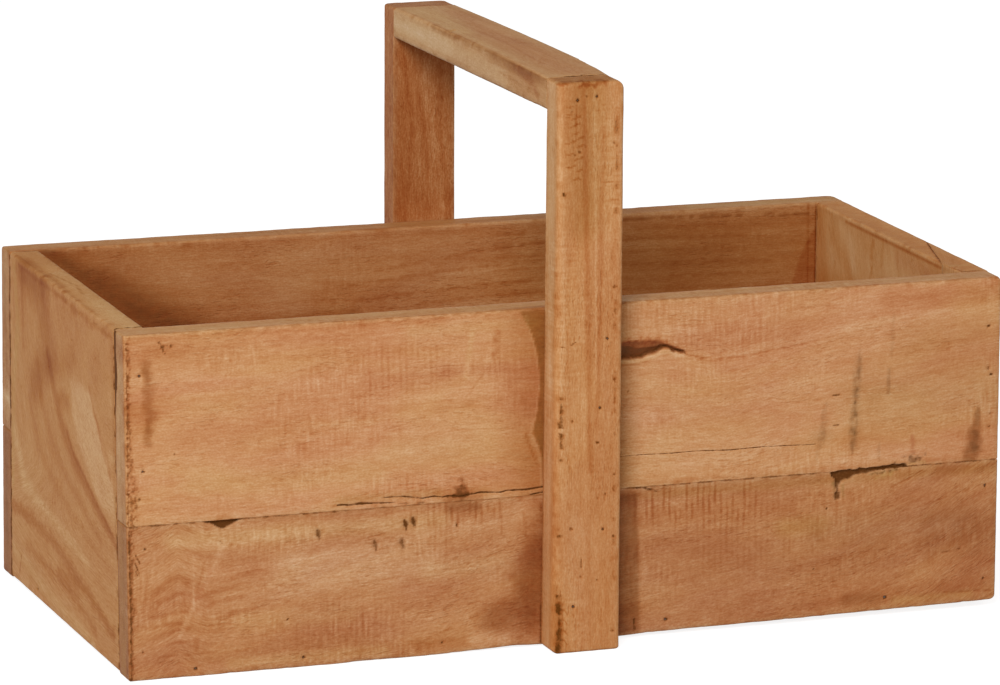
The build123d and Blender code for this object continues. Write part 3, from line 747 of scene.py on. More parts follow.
BACK_MARKS = (
    Stroke(((120, 92, 0.4), (60, 91, 0.5), (10, 92, 0.4)), dark=0.75, depth=0.8, ragged=0.3, broken=0.1),
    Hollow(((-112, 67.8), (-100, 66), (-90, 65.2), (-74, 66.2), (-60, 67.6)),
           ((-112, 69), (-60, 69)),
           dark=0.7, grime=0.4, depth=2.5, ragged=0.3),
    Stroke(((-90, 130, 6), (-70, 118, 8), (-50, 126, 6)), stain_and_shade=0.4, red=0.3),
    Stroke(((150, 120, 1.4), (149, 84, 2)), grime=0.3, ragged=0.5, broken=0.2),
    # painted shade on each side of the rear upright, where it stands on the wall
    Stroke(((15, 147, 9), (15, 110, 10), (15, 75, 9)), stain_and_shade=0.4),
    Stroke(((-15, 147, 9), (-15, 70, 10)), stain_and_shade=0.3),
    *(
        Stroke(((side * 198.4, 149, 1.4), (side * 198.2, 2, 1.6)),
               dark=0.4, stain_and_shade=0.6, ragged=1, broken=0.45, grit=1.2)
        for side in (-1, 1)
    ),
    *(
        Stroke(((-199, height, 0.5), (0, height, 0.4), (199, height, 0.5)),
               dark=0.5, stain_and_shade=0.4, ragged=0.6, broken=0.3, grit=1.4)
        for height in (67.3, 67.7)
    ),
    *clouds(
        (60, 110, 14, 40, 0.12, 0.3), (-130, 40, 14, 36, 0.25, 0.3), (90, 30, 12, 46, -0.08),
        (-20, 40, 12, 30, 0.1, 0.3),
    ),
)

BACK_UPRIGHT_MARKS = (
    Stroke(((-11, 180, 0.8), (-11.4, 150, 1)),
           dark=0.5, stain_and_shade=0.5, depth=0.4, ragged=0.8, broken=0.4, grit=1.2),
    Stroke(((2, 240, 2), (3, 150, 2.5), (1, 40, 2)), stain_and_shade=0.35, red=0.3),
    Stroke(((-8, 200, 2), (-7, 90, 2)), stain_and_shade=-0.2),
    fleck(10, 168, 0.9), fleck(-10.5, 96, 1.1, 0.8), fleck(-10.8, 62, 1), fleck(6, 28, 0.8),
    fleck(-3, 208, 0.8),
)

BAR_MARKS = (
    Stroke(((-6, -100.4, 1), (-3, -100.2, 1.9), (4, -100.2, 1.7), (11, -100.4, 0.9)),
           dark=0.95, depth=0.3, ragged=0.4),
    Stroke(((-13.5, -100.6, 0.7), (3, -100.4, 0.9), (13.5, -100, 0.8)), dark=0.7, ragged=0.5),
    Stroke(((4, -98.5, 0.6), (9, -96, 0.6)), dark=0.6, ragged=0.4),
    Stroke(((-13.5, 26, 0.8), (-10, 29, 0.7)), dark=0.45, stain_and_shade=0.4, depth=0.3, ragged=0.5),
    Stroke(((6, 80, 8), (4, 30, 13), (3, -20, 14), (2, -90, 14)), stain_and_shade=0.12, red=0.3),
    Stroke(((-6, 104, 12), (-4, 60, 12), (-7, 20, 7)), stain_and_shade=-0.2, red=-0.3),
    Stroke(((10, 100, 4), (12, 20, 3)), stain_and_shade=0.15),
    Stroke(((-2, 60, 1.4), (0, -10, 1.6), (-3, -70, 1.4)), stain_and_shade=0.2, red=0.1),
    Stroke(((5, 20, 1.2), (7, -60, 1.2)), stain_and_shade=0.2),
    Stroke(((-13.2, 50, 0.7), (-12.8, -30, 0.9), (-13.2, -99, 0.9)),
           stain_and_shade=0.6, grime=0.16, ragged=0.2, grit=5),
    Stroke(((-10.6, 90, 1.6), (-10.5, 10, 1.8), (-10.6, -60, 1.4)), stain_and_shade=-0.14, red=-0.2),
)
BAR_SIDE_MARKS = (
    Stroke(((104, 243, 10), (60, 243, 12), (27, 243, 12)), stain_and_shade=-0.58, red=-0.3),
    Stroke(((15, 243, 12), (-20, 243, 13), (-46, 243, 13)), stain_and_shade=-0.52, red=-0.2),
    Stroke(((-58, 243, 12), (-104, 243, 13)), stain_and_shade=-0.12, red=-0.1),
    Stroke(((-60, 248, 2.5), (-80, 245.5, 4), (-90, 240, 3)), stain_and_shade=0.5, red=0.2, ragged=0.3, grit=3),
    Stroke(((-40, 243, 1.2), (-92, 241, 1.4)), stain_and_shade=0.3, ragged=0.4),
    Stroke(((90, 239, 1.2), (0, 238.5, 1.4)), stain_and_shade=0.2),
    Stroke(((50, 248.8, 0.7), (-30, 248.9, 0.8), (-100, 248.8, 0.8)),
           stain_and_shade=0.6, grime=0.14, ragged=0.2, grit=5),
)
FRONT_POST_SIDE_MARKS = (
    Stroke(((-108, 250, 12), (-108, 120, 12)), red=-0.2, stain_and_shade=-0.4),
    Stroke(((-108, 130, 12), (-108, 0, 12)), stain_and_shade=-0.14),
    Stroke(((-102, 148, 1.2), (-102, 4, 1.2)), stain_and_shade=0.8),
    Stroke(((-114.6, 200, 2), (-114.6, 4, 2)), stain_and_shade=0.12),
)
BACK_POST_SIDE_MARKS = (
    Stroke(((108, 250, 12), (108, 0, 12)), stain_and_shade=-0.1, red=-0.1),
)
BACK_POST_INNER_MARKS = (
    Stroke(((-14, 246, 1.2), (-9, 222, 1.6), (-6, 196, 1.4), (-8, 160, 1.2)), stain_and_shade=0.26, ragged=0.6),
    Stroke(((-6, 240, 1), (-3, 214, 1.3), (1, 190, 1.2), (2, 155, 1)), stain_and_shade=0.2, ragged=0.6),
    Stroke(((9, 236, 1.2), (7, 205, 1.4), (10, 160, 1.2)), stain_and_shade=0.24, ragged=0.6),
    Stroke(((4, 236, 3), (1, 210, 4), (5, 180, 3)), stain_and_shade=-0.2),
    *clouds((-2, 215, 16, 6, -0.14), (0, 160, 10, 12, 0.12)),
)

# How the frame stands out of true, in millimetres at the box's corners: x, y, z at the foot and at the rim
OUT_OF_TRUE = {
    ("left", "front"): ((0.4, 0, 0), (-0.9, 0, 0.2)),
    ("right", "front"): ((0.6, 0, 0), (0.6, 0, 0)),
    ("left", "back"): ((-1.7, 0, 1), (-0.5, 0, 0.9)),
    ("right", "back"): ((2.2, 0, 0.6), (2.8, 0, 0.1)),
}
# How far the front foot is planed up, as (x, height) places
FOOT_LINE = (
    (-110, 0), (-60, 0.25), (-40, 0.8), (-28, 1.1), (-15, 0.7), (24, 1.3), (35, 1.8), (100, 2.3), (190, 3.1),
    (200, 3.4),
)
# How far the handle's left and right edges shift along x, at the foot and at the top
POST_SHIFTS = {
    "front": {"left": (0.2, 1.8), "right": (2.1, 2.6)},
    "back": {"left": (-0.6, -0.1), "right": (0.4, 0.5)},
}


def out_of_true(points):
    """Hand-built lean of the box: corner offsets blended along x, y and z, and the front foot planed up."""
    along = np.clip((points[:, 0] + HALF_LENGTH) / (2 * HALF_LENGTH), 0, 1)
    back = np.clip((points[:, 1] - FRONT_FACE) / (BACK_FACE - FRONT_FACE), 0, 1)
    up = np.clip(points[:, 2] / WALL_TOP, 0, 1)
    moved = points.copy()
    for (end, side), (foot, rim) in OUT_OF_TRUE.items():
        share = (along if end == "right" else 1 - along) * (back if side == "back" else 1 - back)
        moved += share[:, None] * ((1 - up)[:, None] * np.array(foot) + up[:, None] * np.array(rim))
    rise = np.interp(points[:, 0], *np.array(FOOT_LINE).T)
    moved[:, 2] += rise * eased(1 - 2 * back) * np.clip(1 - points[:, 2] / SEAM, 0, 1)
    return moved


def handle_lean(points):
    """Lean of the handle: its edges shift along x, blended from foot to top and front to back."""
    up = np.clip(points[:, 2] / HANDLE_TOP, 0, 1)
    right = np.clip((points[:, 0] + UPRIGHT_HALF) / (2 * UPRIGHT_HALF), 0, 1)
    back = np.clip((points[:, 1] - FRONT_FACE) / (BACK_FACE - FRONT_FACE), 0, 1)
    moved = points.copy()
    for side, side_share in (("front", 1 - back), ("back", back)):
        for edge, edge_share in (("left", 1 - right), ("right", right)):
            foot, top = POST_SHIFTS[side][edge]
            moved[:, 0] += side_share * edge_share * (foot + up * (top - foot))
    return moved


# Boards
AXES = {
    "front": ((1, 0, 0), (0, 0, 1), (0, -1, 0)),
    "back": ((-1, 0, 0), (0, 0, 1), (0, 1, 0)),
    "left": ((0, -1, 0), (0, 0, 1), (-1, 0, 0)),
    "right": ((0, 1, 0), (0, 0, 1), (1, 0, 0)),
    "floor": ((1, 0, 0), (0, 1, 0), (0, 0, 1)),
    "front_post": ((0, 0, 1), (-1, 0, 0), (0, -1, 0)),
    "back_post": ((0, 0, 1), (1, 0, 0), (0, 1, 0)),
    "bar": ((0, 1, 0), (-1, 0, 0), (0, 0, 1)),
}


@dataclass
class Board:
    """One board: its CAD node, the side it faces, its finish, its grid and what marks its show face.

    plan names the two world axes that the marks are given in. more lists (marks, axis, sign, plan) for its
    other faces, by the local axis that they look along. nails names the groups whose holes it shows. step,
    row_step and back_step space its grid along it, across its show face and across its inner face. fine and
    fine_along list (place, reach, step) of rows across the show face and of rings along the board that are
    drawn together, in world millimetres. arrises are the rounding radii of its four long edges, in turn
    round the profile from the top outer one, and ends that of its two ends. wander and chips are the shares
    by which the radii vary and break away, wear the share of pale wear on its edges and cap_stain that of
    brown on its ends. wave and crown, in millimetres, are how far its faces undulate and its show face
    swells. saw lists (first, second, reach, rise, strength) of zones of saw marks, flow lists (along, rise)
    of the grain's sweep and rounded (axis, axis, first, second, radii) of knocked-off corners, with radii as
    (place, radius) along the third axis. handle is set where it leans with the handle.
    """

    node: str
    side: str
    finish: str
    slot: str
    seed: int
    marks: tuple = ()
    plan: tuple = (0, 2)
    step: float = 1.0
    row_step: float = 1.0
    back_step: float = 3.0
    arrises: tuple = (1.0, 1.0, 0.8, 0.8)
    ends: float = 0.8
    fine: tuple = ()
    fine_along: tuple = ()
    flow: tuple = ()
    rounded: tuple = ()
    wave: float = 0.22
    crown: float = 0.0
    saw: tuple = ()
    handle: bool = False
    nails: tuple = ()
    more: tuple = ()
    wander: float = 0.3
    chips: float = 0.0
    wear: float = 1.0
    cap_stain: float = 0.35


SPACING_SAMPLES = 4001


def spaced(low, high, step, fine=()):
    """Grid lines from low to high about a step apart, drawn together round each (place, reach, step)."""
    line = np.linspace(low, high, SPACING_SAMPLES)
    density = np.full(len(line), 1 / step)
    for place, reach, fine_step in fine:
        density += (1 / fine_step - 1 / step) * np.exp(-(((line - place) / reach) ** 4))
    count = np.concatenate([[0], np.cumsum((density[1:] + density[:-1]) / 2 * np.diff(line))])
    return np.interp(np.linspace(0, count[-1], int(np.ceil(count[-1])) + 1), count, line)


def own_places(fine, axis, centre):
    """Fine places moved from the world to a board's own axis."""
    sign = axis.sum()
    middle = np.abs(axis) @ centre
    return [(sign * (place - middle), reach, step) for place, reach, step in fine]


ARC_STEPS = 5
CAP_STEPS = 9
EDGE_STEP = 1.1
LEAST_ARRIS = 0.3
# Wander and chips of the arrises: their sizes in millimetres, and the shares that the radii keep to
MOST_WANDER = 1.9
WANDER_SIZE = 14
FINE_WANDER_SIZE = 4
FINE_WANDER_SHARE = 0.8
CHIP_SIZE = 5
CHIP_START_SHARE = 0.5
RADIUS_SHARES = (0.35, 1.85)
CORNER_SPACING = 50.0


def profile(half_across, half_out, board):
    """Points round a board's section from the show face on: fixed lines on its faces, arcs between them.

    Gives for each point its line on the two axes, which of them is free, its sides, corner and direction.
    """
    centre = sum(np.array(corner) for corner in corners_mm(board.node)) / 2
    fine = own_places(board.fine, np.array(AXES[board.side][1], float), centre)
    room = MOST_WANDER * np.maximum(board.arrises, LEAST_ARRIS)
    rows = spaced(room[3] - half_across, half_across - room[0], board.row_step, fine)
    back_rows = spaced(room[2] - half_across, half_across - room[1], board.back_step)[::-1]
    high_rows = spaced(room[1] - half_out, half_out - room[0], EDGE_STEP)[::-1]
    low_rows = spaced(room[2] - half_out, half_out - room[3], EDGE_STEP)
    turn = np.linspace(0, np.pi / 2, ARC_STEPS)
    faces = ((rows, 0, 1), (high_rows, 1, 0), (back_rows, 0, -1), (low_rows, -1, 0))
    corners = ((1, 1), (1, -1), (-1, -1), (-1, 1))
    table = []
    for number, ((lines, across, out), corner) in enumerate(zip(faces, corners)):
        level = np.zeros(len(lines))
        side = level + (out or across)
        index = level + number
        if out:
            face = (lines, level, level + 1, level, level, side, index, level, side)
        else:
            face = (level, lines, level, level + 1, side, level, index, side, level)
        away, towards = (np.sin(turn), np.cos(turn)) if out else (np.cos(turn), np.sin(turn))
        flat = np.zeros(ARC_STEPS)
        sides = (flat + corner[0], flat + corner[1])
        arc = (flat, flat, flat, flat, *sides, flat + number, corner[0] * away, corner[1] * towards)
        table += [np.stack(face), np.stack(arc)]
    return np.concatenate(table, axis=1)


def board_surface(board):
    """Closed surface of a worn board: (along, across, out) of its points in millimetres, normals and faces.

    The section is a rectangle with rounded corners whose radii wander along the board. It is carried along
    the grain, drawn in over a quarter circle at each end and shrunk to a pole in each end face's middle.
    """
    low, high = corners_mm(board.node)
    axes = np.array(AXES[board.side], float)
    half = np.abs(axes @ (high - low)) / 2
    line_b, line_c, free_b, free_c, side_b, side_c, corner, dir_b, dir_c = profile(half[1], half[2], board)
    turn = np.linspace(0, np.pi / 2, ARC_STEPS)[1:]
    shrink = np.linspace(1, 0, CAP_STEPS + 1)[1:-1]
    fine = own_places(board.fine_along, axes[0], (low + high) / 2)
    body = spaced(board.ends - half[0], half[0] - board.ends, board.step, fine)
    bend = half[0] - board.ends + board.ends * np.sin(turn)
    end_along = np.concatenate([bend, np.full(len(shrink), half[0])])
    end_inset = np.concatenate([board.ends * (1 - np.cos(turn)), np.full(len(shrink), board.ends)])
    end_shrink = np.concatenate([np.ones(len(turn)), shrink])
    end_facing = np.concatenate([np.sin(turn), np.ones(len(shrink))])
    along = np.concatenate([-end_along[::-1], body, end_along])
    inset = np.concatenate([end_inset[::-1], np.zeros(len(body)), end_inset])
    narrow = np.concatenate([end_shrink[::-1], np.ones(len(body)), end_shrink])
    facing = np.concatenate([-end_facing[::-1], np.zeros(len(body)), end_facing])
    apart = np.tile(np.arange(4.0) * CORNER_SPACING, (len(along), 1))
    reach = np.stack([np.repeat(along[:, None], 4, 1), apart, np.zeros(apart.shape)], axis=-1)
    wander = noise(reach, WANDER_SIZE, board.seed)
    wander = 1 + board.wander * (wander + FINE_WANDER_SHARE * noise(reach, FINE_WANDER_SIZE, board.seed + 1))
    chip = np.clip(noise(reach, CHIP_SIZE, board.seed + 2) - CHIP_START_SHARE, 0, 1)
    chip = board.chips * chip / CHIP_START_SHARE
    radius = (np.array(board.arrises) * np.clip(wander + chip, *RADIUS_SHARES))[:, corner.astype(int)]
    b = np.where(free_b > 0, line_b, side_b * (half[1] - radius) + radius * dir_b)
    c = np.where(free_c > 0, line_c, side_c * (half[2] - radius) + radius * dir_c)
    b *= ((half[1] - inset) / half[1] * narrow)[:, None]
    c *= ((half[2] - inset) / half[2] * narrow)[:, None]
    points = np.stack([np.repeat(along[:, None], b.shape[1], 1), b, c], axis=-1)
    level = np.sqrt(np.clip(1 - facing**2, 0, 1))[:, None]
    normals = np.stack([np.repeat(facing[:, None], b.shape[1], 1), dir_b * level, dir_c * level], axis=-1)
    poles = np.array([[-half[0], 0, 0], [half[0], 0, 0]])
    return (
        np.concatenate([points.reshape(-1, 3), poles]),
        np.concatenate([normals.reshape(-1, 3), np.sign(poles)]),
        grid_faces(*b.shape),
        half,
    )


def grid_faces(rings, count):
    """Quads between neighbouring rings of points and triangles from end rings to poles, facing out."""
    index = np.arange(rings * count).reshape(rings, count)
    ahead = np.roll(index, -1, axis=1)
    quads = np.stack([index[:-1], index[1:], ahead[1:], ahead[:-1]], axis=-1).reshape(-1, 4)
    first = np.full(count, rings * count)
    start = np.stack([first, index[0], ahead[0]], axis=-1)
    finish = np.stack([first + 1, ahead[-1], index[-1]], axis=-1)
    return quads, np.concatenate([start, finish])


def make_mesh(name, points, quads, triangles, attributes):
    """New mesh piece in metres from arrays of points and faces, smooth, with its point attributes."""
    mesh = bpy.data.meshes.new(name)
    loops = np.concatenate([quads.ravel(), triangles.ravel()]).astype(np.int32)
    totals = np.concatenate([np.full(len(quads), 4), np.full(len(triangles), 3)])
    mesh.vertices.add(len(points))
    mesh.loops.add(len(loops))
    mesh.polygons.add(len(totals))
    mesh.vertices.foreach_set("co", (points * MM).astype(np.float32).ravel())
    mesh.loops.foreach_set("vertex_index", loops)
    mesh.polygons.foreach_set("loop_start", (np.cumsum(totals) - totals).astype(np.int32))
    for key, values in attributes.items():
        kind, field = ("FLOAT_VECTOR", "vector") if values.ndim == 2 else ("FLOAT", "value")
        mesh.attributes.new(key, kind, "POINT").data.foreach_set(field, values.astype(np.float32).ravel())
    mesh.update(calc_edges=True)
    mesh.polygons.foreach_set("use_smooth", np.ones(len(totals), bool))
    if mesh.validate():
        raise RuntimeError(f"{name} has faulty faces")
    piece = bpy.data.objects.new(name, mesh)
    bpy.context.scene.collection.objects.link(piece)
    return piece


# Growth of the end boards: rings round a pith off the top front corner, flatter towards the foot
PITH = (-82.0, 167.0)
RING_FLATTEN_SHARES = (0.45, 1.0)
RING_FLATTEN_HEIGHTS = (30.0, 70.0)
RING_RADIUS = 110


def end_grain_flow(points):
    """Along and across the swept grain of an end board: the angle round the pith, and the ring's radius."""
    low, high = RING_FLATTEN_HEIGHTS
    stretch = eased((points[:, 2] - low) / (high - low))
    flat = RING_FLATTEN_SHARES[0] + stretch * (RING_FLATTEN_SHARES[1] - RING_FLATTEN_SHARES[0])
    sideways = flat * (points[:, 1] - PITH[0])
    drop = PITH[1] - points[:, 2]
    swept = np.arctan2(sideways, drop) * RING_RADIUS
    return np.stack([swept, np.hypot(sideways, drop), points[:, 0]], axis=1)


SCARF_GAP = 0.12
SCARF_INNER_LENGTH = 20.0


def fit_scarf(node, places):
    """Places on the scarfed end's two pieces, cut back to the joint that slants across the thickness."""
    share = (places[:, 0] - end_low[0]) / (end_high[0] - end_low[0])
    inner = patch_low[1] + SCARF_INNER_LENGTH
    joint = inner + share * (patch_high[1] - inner)
    fitted = places.copy()
    if node == "right_end_board":
        notch = places[:, 2] > patch_low[2]
        fitted[:, 1] = np.where(notch, np.maximum(places[:, 1], joint + SCARF_GAP), places[:, 1])
    if node == "right_end_patch":
        span = (places[:, 1] - patch_low[1]) / (patch_high[1] - patch_low[1])
        fitted[:, 1] = patch_low[1] + span * (joint - SCARF_GAP - patch_low[1])
    return fitted


CORNER_REACH_SHARE = 1.05


def knock_off(places, rounded):
    """Places with corners rounded: the square at each corner is drawn in to a quarter disc."""
    places = places.copy()
    for first, second, first_corner, second_corner, radii in rounded:
        radius = np.interp(places[:, 3 - first - second], *np.array(radii).T)
        sides = np.sign([first_corner, second_corner - WALL_TOP / 2])
        u = sides[0] * (places[:, first] - first_corner) / radius + 1
        v = sides[1] * (places[:, second] - second_corner) / radius + 1
        inside = (u > 0) & (v > 0)
        u = np.clip(u, 0, CORNER_REACH_SHARE)
        v = np.clip(v, 0, CORNER_REACH_SHARE)
        drawn_u = first_corner + sides[0] * radius * (u * np.sqrt(1 - v**2 / 2) - 1)
        drawn_v = second_corner + sides[1] * radius * (v * np.sqrt(1 - u**2 / 2) - 1)
        places[:, first] = np.where(inside, drawn_u, places[:, first])
        places[:, second] = np.where(inside, drawn_v, places[:, second])
    return places


SAW_CORE = 1.6
SAW_FALL = 1.3


def saw_zones(board, plan, share):
    """Strength of a board's saw marks at each place: the sum of its oval zones, fading at their edges."""
    strength = np.zeros(len(plan))
    for place, height, reach, rise, level in board.saw:
        away = np.hypot((plan[:, 0] - place) / reach, (plan[:, 1] - height) / rise)
        strength += level * eased(SAW_CORE - SAW_FALL * away) * share
    return strength


# When a face counts as looking along an axis
FACING_SLOPE = 1.4
FACING_START_SHARE = 0.2


def facing_share(level):
    """Share of a face that looks along an axis, from its normal's part along that axis."""
    return eased(level * FACING_SLOPE - FACING_START_SHARE)


# Show face: how far its marks run down the board's sides, and over what they fade
SHOW_DEPTH = 6
SHOW_FADE = 3
# Wear and dirt along the edges: their reach, roughness and shares
WEAR_REACH = 1.5
WEAR_SHARE = 0.75
ROUGH_WEAR_SHARE = 0.5
ROUGH_SIZE = 3.0
CAP_WEAR_SHARE = 0.5
CAUGHT_REACH = 2.4
CAUGHT_START_SHARE = 0.1
# Uneven faces: the size of the waves and ripples along, across and through a board
WAVE_SIZE = (60, 26, 26)
WAVE_FADE = 6
RIPPLE_SIZE = (9, 3, 3)
RIPPLE_HEIGHT = 0.05
# How far each board's grain is shifted for its seed
GRAIN_SHIFT = (37.0, 23.0, 11.0)


def dress_board(board, settings):
    """Make one worn board from its surface, marks and lean, and put it in its CAD node's place."""
    points, normals, (quads, triangles), half = board_surface(board)
    low, high = corners_mm(board.node)
    axes = np.array(AXES[board.side], float)
    centre = (low + high) / 2
    world = points @ axes + centre
    lean = handle_lean if board.handle else out_of_true
    leant = lean(fit_scarf(board.node, world))
    plan = leant[:, list(board.plan)]
    show = eased((points[:, 2] - half[2] + SHOW_DEPTH) / SHOW_FADE)
    cap = facing_share(np.abs(normals[:, 0]))
    holes = tuple(hole(*place[list(board.plan)]) for node in board.nails for place in nail_mouths(node)[0])
    drawn = draw(board.marks + holes, plan, show)
    for marks, axis, sign, face_plan in board.more:
        others = draw(marks, leant[:, list(face_plan)], facing_share(sign * normals[:, axis]))
        drawn["dark"] = np.maximum(drawn["dark"], others["dark"])
        for key in TINTS:
            drawn[key] += others[key]
    depth = drawn.pop("depth")
    # wear and grime along the edges, by the distance to the nearest one
    edge = np.sort(half - np.abs(points), axis=1)[:, 1]
    rough = np.clip(WEAR_SHARE + ROUGH_WEAR_SHARE * noise(points, ROUGH_SIZE, board.seed + 3), 0, 1)
    worn = np.exp(-((edge / WEAR_REACH) ** 2)) * rough * board.wear * settings.shape.edge_wear
    worn = np.maximum(worn, CAP_WEAR_SHARE * cap)
    caught = np.clip(noise(points, ROUGH_SIZE, board.seed + 4) - CAUGHT_START_SHARE, 0, 1)
    caught *= np.exp(-((edge / CAUGHT_REACH) ** 2))
    drawn["stain_and_shade"] += settings.shape.edge_dirt * caught + board.cap_stain * cap
    wave = board.wave * noise(points, WAVE_SIZE, board.seed + 7) * eased(edge / WAVE_FADE)
    wave += RIPPLE_HEIGHT * noise(points, RIPPLE_SIZE, board.seed + 8)
    shaped = points + normals * wave[:, None]
    shaped[:, 2] += board.crown * eased(points[:, 2] / half[2]) * (1 - (points[:, 0] / half[0]) ** 2)
    shaped[:, 2] = np.where(depth > 0, np.minimum(shaped[:, 2], half[2] - depth), shaped[:, 2] - depth)
    placed = knock_off(fit_scarf(board.node, shaped @ axes + centre), board.rounded)
    grain = end_grain_flow(world) if board.side in ("left", "right") else points.copy()
    if board.flow:
        grain[:, 1] -= np.interp(world @ np.abs(axes[0]), *np.array(board.flow).T)
    attributes = {
        "grain": grain + board.seed * np.array(GRAIN_SHIFT),
        "worn": worn,
        "saw": saw_zones(board, plan, show),
        **drawn,
    }
    piece = make_mesh(f"{board.node}_timber", lean(placed), quads, triangles, attributes)
    piece.data.materials.append(timber_material(board.finish, settings))
    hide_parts(board.node)
    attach(piece, "root")
    return piece


# Other faces of the boards, and rows and rings that show fine marks
FRONT_ENDS = ((LEFT_LONG_END_MARKS, 0, -1, (1, 2)), (LONG_END_MARKS, 0, 1, (1, 2)))
BACK_ENDS = ((LEFT_LONG_END_MARKS, 0, 1, (1, 2)), (LONG_END_MARKS, 0, -1, (1, 2)))
SCARFED_FACES = ((RIGHT_INNER_MARKS, 2, -1, (1, 2)), (RIGHT_RIM_MARKS, 1, 1, (0, 1)))
SEAM_ROWS = (SEAM + 1.5, 4.0, 0.3)
ARRIS_RINGS = (-HALF_LENGTH, 8.0, 0.35)
JOINT_RINGS = ((-85.6, 2.5, 0.35), (85.6, 2.5, 0.35))
FRONT_NAILS = ("front_left_corner_nails", "front_right_corner_nails")
BACK_NAILS = ("back_left_corner_nails", "back_right_corner_nails", "back_floor_nails")
BACK_CORNER = ((0, 1, HALF_LENGTH, BACK_FACE, ((0, 5.0),)),)

FRONT_BOARDS = (
    Board("front_upper_board", "front", "upper", "upper_wall_wood", 3, FRONT_UPPER_MARKS,
          step=0.85, row_step=0.85, back_step=7, arrises=(1.4, 1.2, 0.3, 0.3), ends=0.9,
          fine=(SEAM_ROWS, (81.4, 1.3, 0.24), (128.5, 5, 0.5)), fine_along=(ARRIS_RINGS,),
          flow=((-200, 0), (-60, 4), (20, 4), (70, 2), (115, 8), (200, 16)),
          saw=((-80, 128, 34, 14, 0.7), (-110, 108, 40, 22, 0.4), (75, 130, 30, 12, 0.5),
               (-62, 74, 30, 7, 0.5)),
          rounded=((0, 2, HALF_LENGTH, WALL_TOP, ((0, 2),)),), nails=FRONT_NAILS,
          more=FRONT_ENDS + ((FRONT_RIM_MARKS, 1, 1, (0, 1)),), chips=0.5),
    Board("front_lower_board", "front", "lower", "lower_wall_wood", 11, FRONT_LOWER_MARKS,
          step=0.85, row_step=0.85, back_step=7, arrises=(0.3, 0.3, 1, 1.2), ends=0.8,
          fine=((SEAM - 1.5, 5, 0.3), (4, 5, 0.6)), fine_along=(ARRIS_RINGS,),
          flow=((-200, -4), (-188, 0), (-178, 5), (-165, 0), (-60, 9), (-20, 16), (20, 12), (130, 26),
                (165, 38), (200, 58)),
          saw=((58, 58, 36, 13, 1.6), (-56, 63, 30, 7, 1.3), (90, 40, 40, 20, 0.5),
               (-110, 20, 40, 14, 0.5)),
          rounded=((0, 2, HALF_LENGTH, 0, ((0, 2.7),)), (0, 2, -HALF_LENGTH, 0, ((0, 0.8),))),
          nails=(*FRONT_NAILS, "front_floor_nails"), more=FRONT_ENDS, chips=0.5, cap_stain=0.6),
)
BACK_BOARDS = (
    Board("back_upper_board", "back", "back", "upper_wall_wood", 19, BACK_MARKS,
          step=1.2, row_step=1, back_step=1.2, arrises=(1.4, 1.4, 0.3, 0.3),
          fine=((SEAM + 1.5, 5, 0.45),), fine_along=((187, 5, 0.4),), saw=((60, 120, 40, 20, 0.6),),
          rounded=BACK_CORNER, nails=BACK_NAILS, cap_stain=0.5,
          more=BACK_ENDS + ((BACK_INNER_MARKS, 2, -1, (0, 2)), (BACK_RIM_MARKS, 1, 1, (0, 1)))),
    Board("back_lower_board", "back", "lower", "lower_wall_wood", 27, BACK_MARKS,
          step=1.2, row_step=1, back_step=3, arrises=(0.3, 0.3, 1, 1.2),
          fine=((SEAM - 1.5, 5, 0.45),), saw=((-60, 40, 50, 20, 0.6),),
          rounded=BACK_CORNER, nails=BACK_NAILS, cap_stain=0.8, more=BACK_ENDS),
)
END_BOARDS = (
    Board("left_end_board", "left", "end", "end_wood", 31, LEFT_END_MARKS, (1, 2),
          step=0.9, row_step=0.8, back_step=2, arrises=(1.4, 1.4, 0.6, 0.6), ends=0.4, wander=0.15,
          fine_along=JOINT_RINGS, nails=("left_floor_nails",), more=((LEFT_RIM_MARKS, 1, 1, (0, 1)),)),
    Board("right_end_board", "right", "far_end", "end_wood", 43, RIGHT_END_MARKS, (1, 2),
          step=1, row_step=1, back_step=1.4, arrises=(1.2, 1.2, 0.6, 0.6), ends=0.3, wander=0.12,
          fine=((patch_low[2], 2, 0.25),), fine_along=JOINT_RINGS, nails=("right_floor_nails",),
          more=SCARFED_FACES),
    Board("right_end_patch", "right", "far_end", "end_wood", 49, (), (1, 2),
          step=1, row_step=1, back_step=1.4, arrises=(1.2, 1.1, 0.2, 0.2), ends=0.25, wander=0.12,
          more=SCARFED_FACES),
)
FLOOR_BOARDS = tuple(
    Board(f"{side}_floor_board", "floor", "floor", "floor_wood", seed, (), (0, 1),
          step=2, row_step=1.6, back_step=3, arrises=(0.5, 0.5, 0.5, 0.5), ends=0.4,
          saw=((0, 40 * across, 160, 30, 0.9),))
    for side, seed, across in (("front", 53, -1), ("back", 59, 1))
)
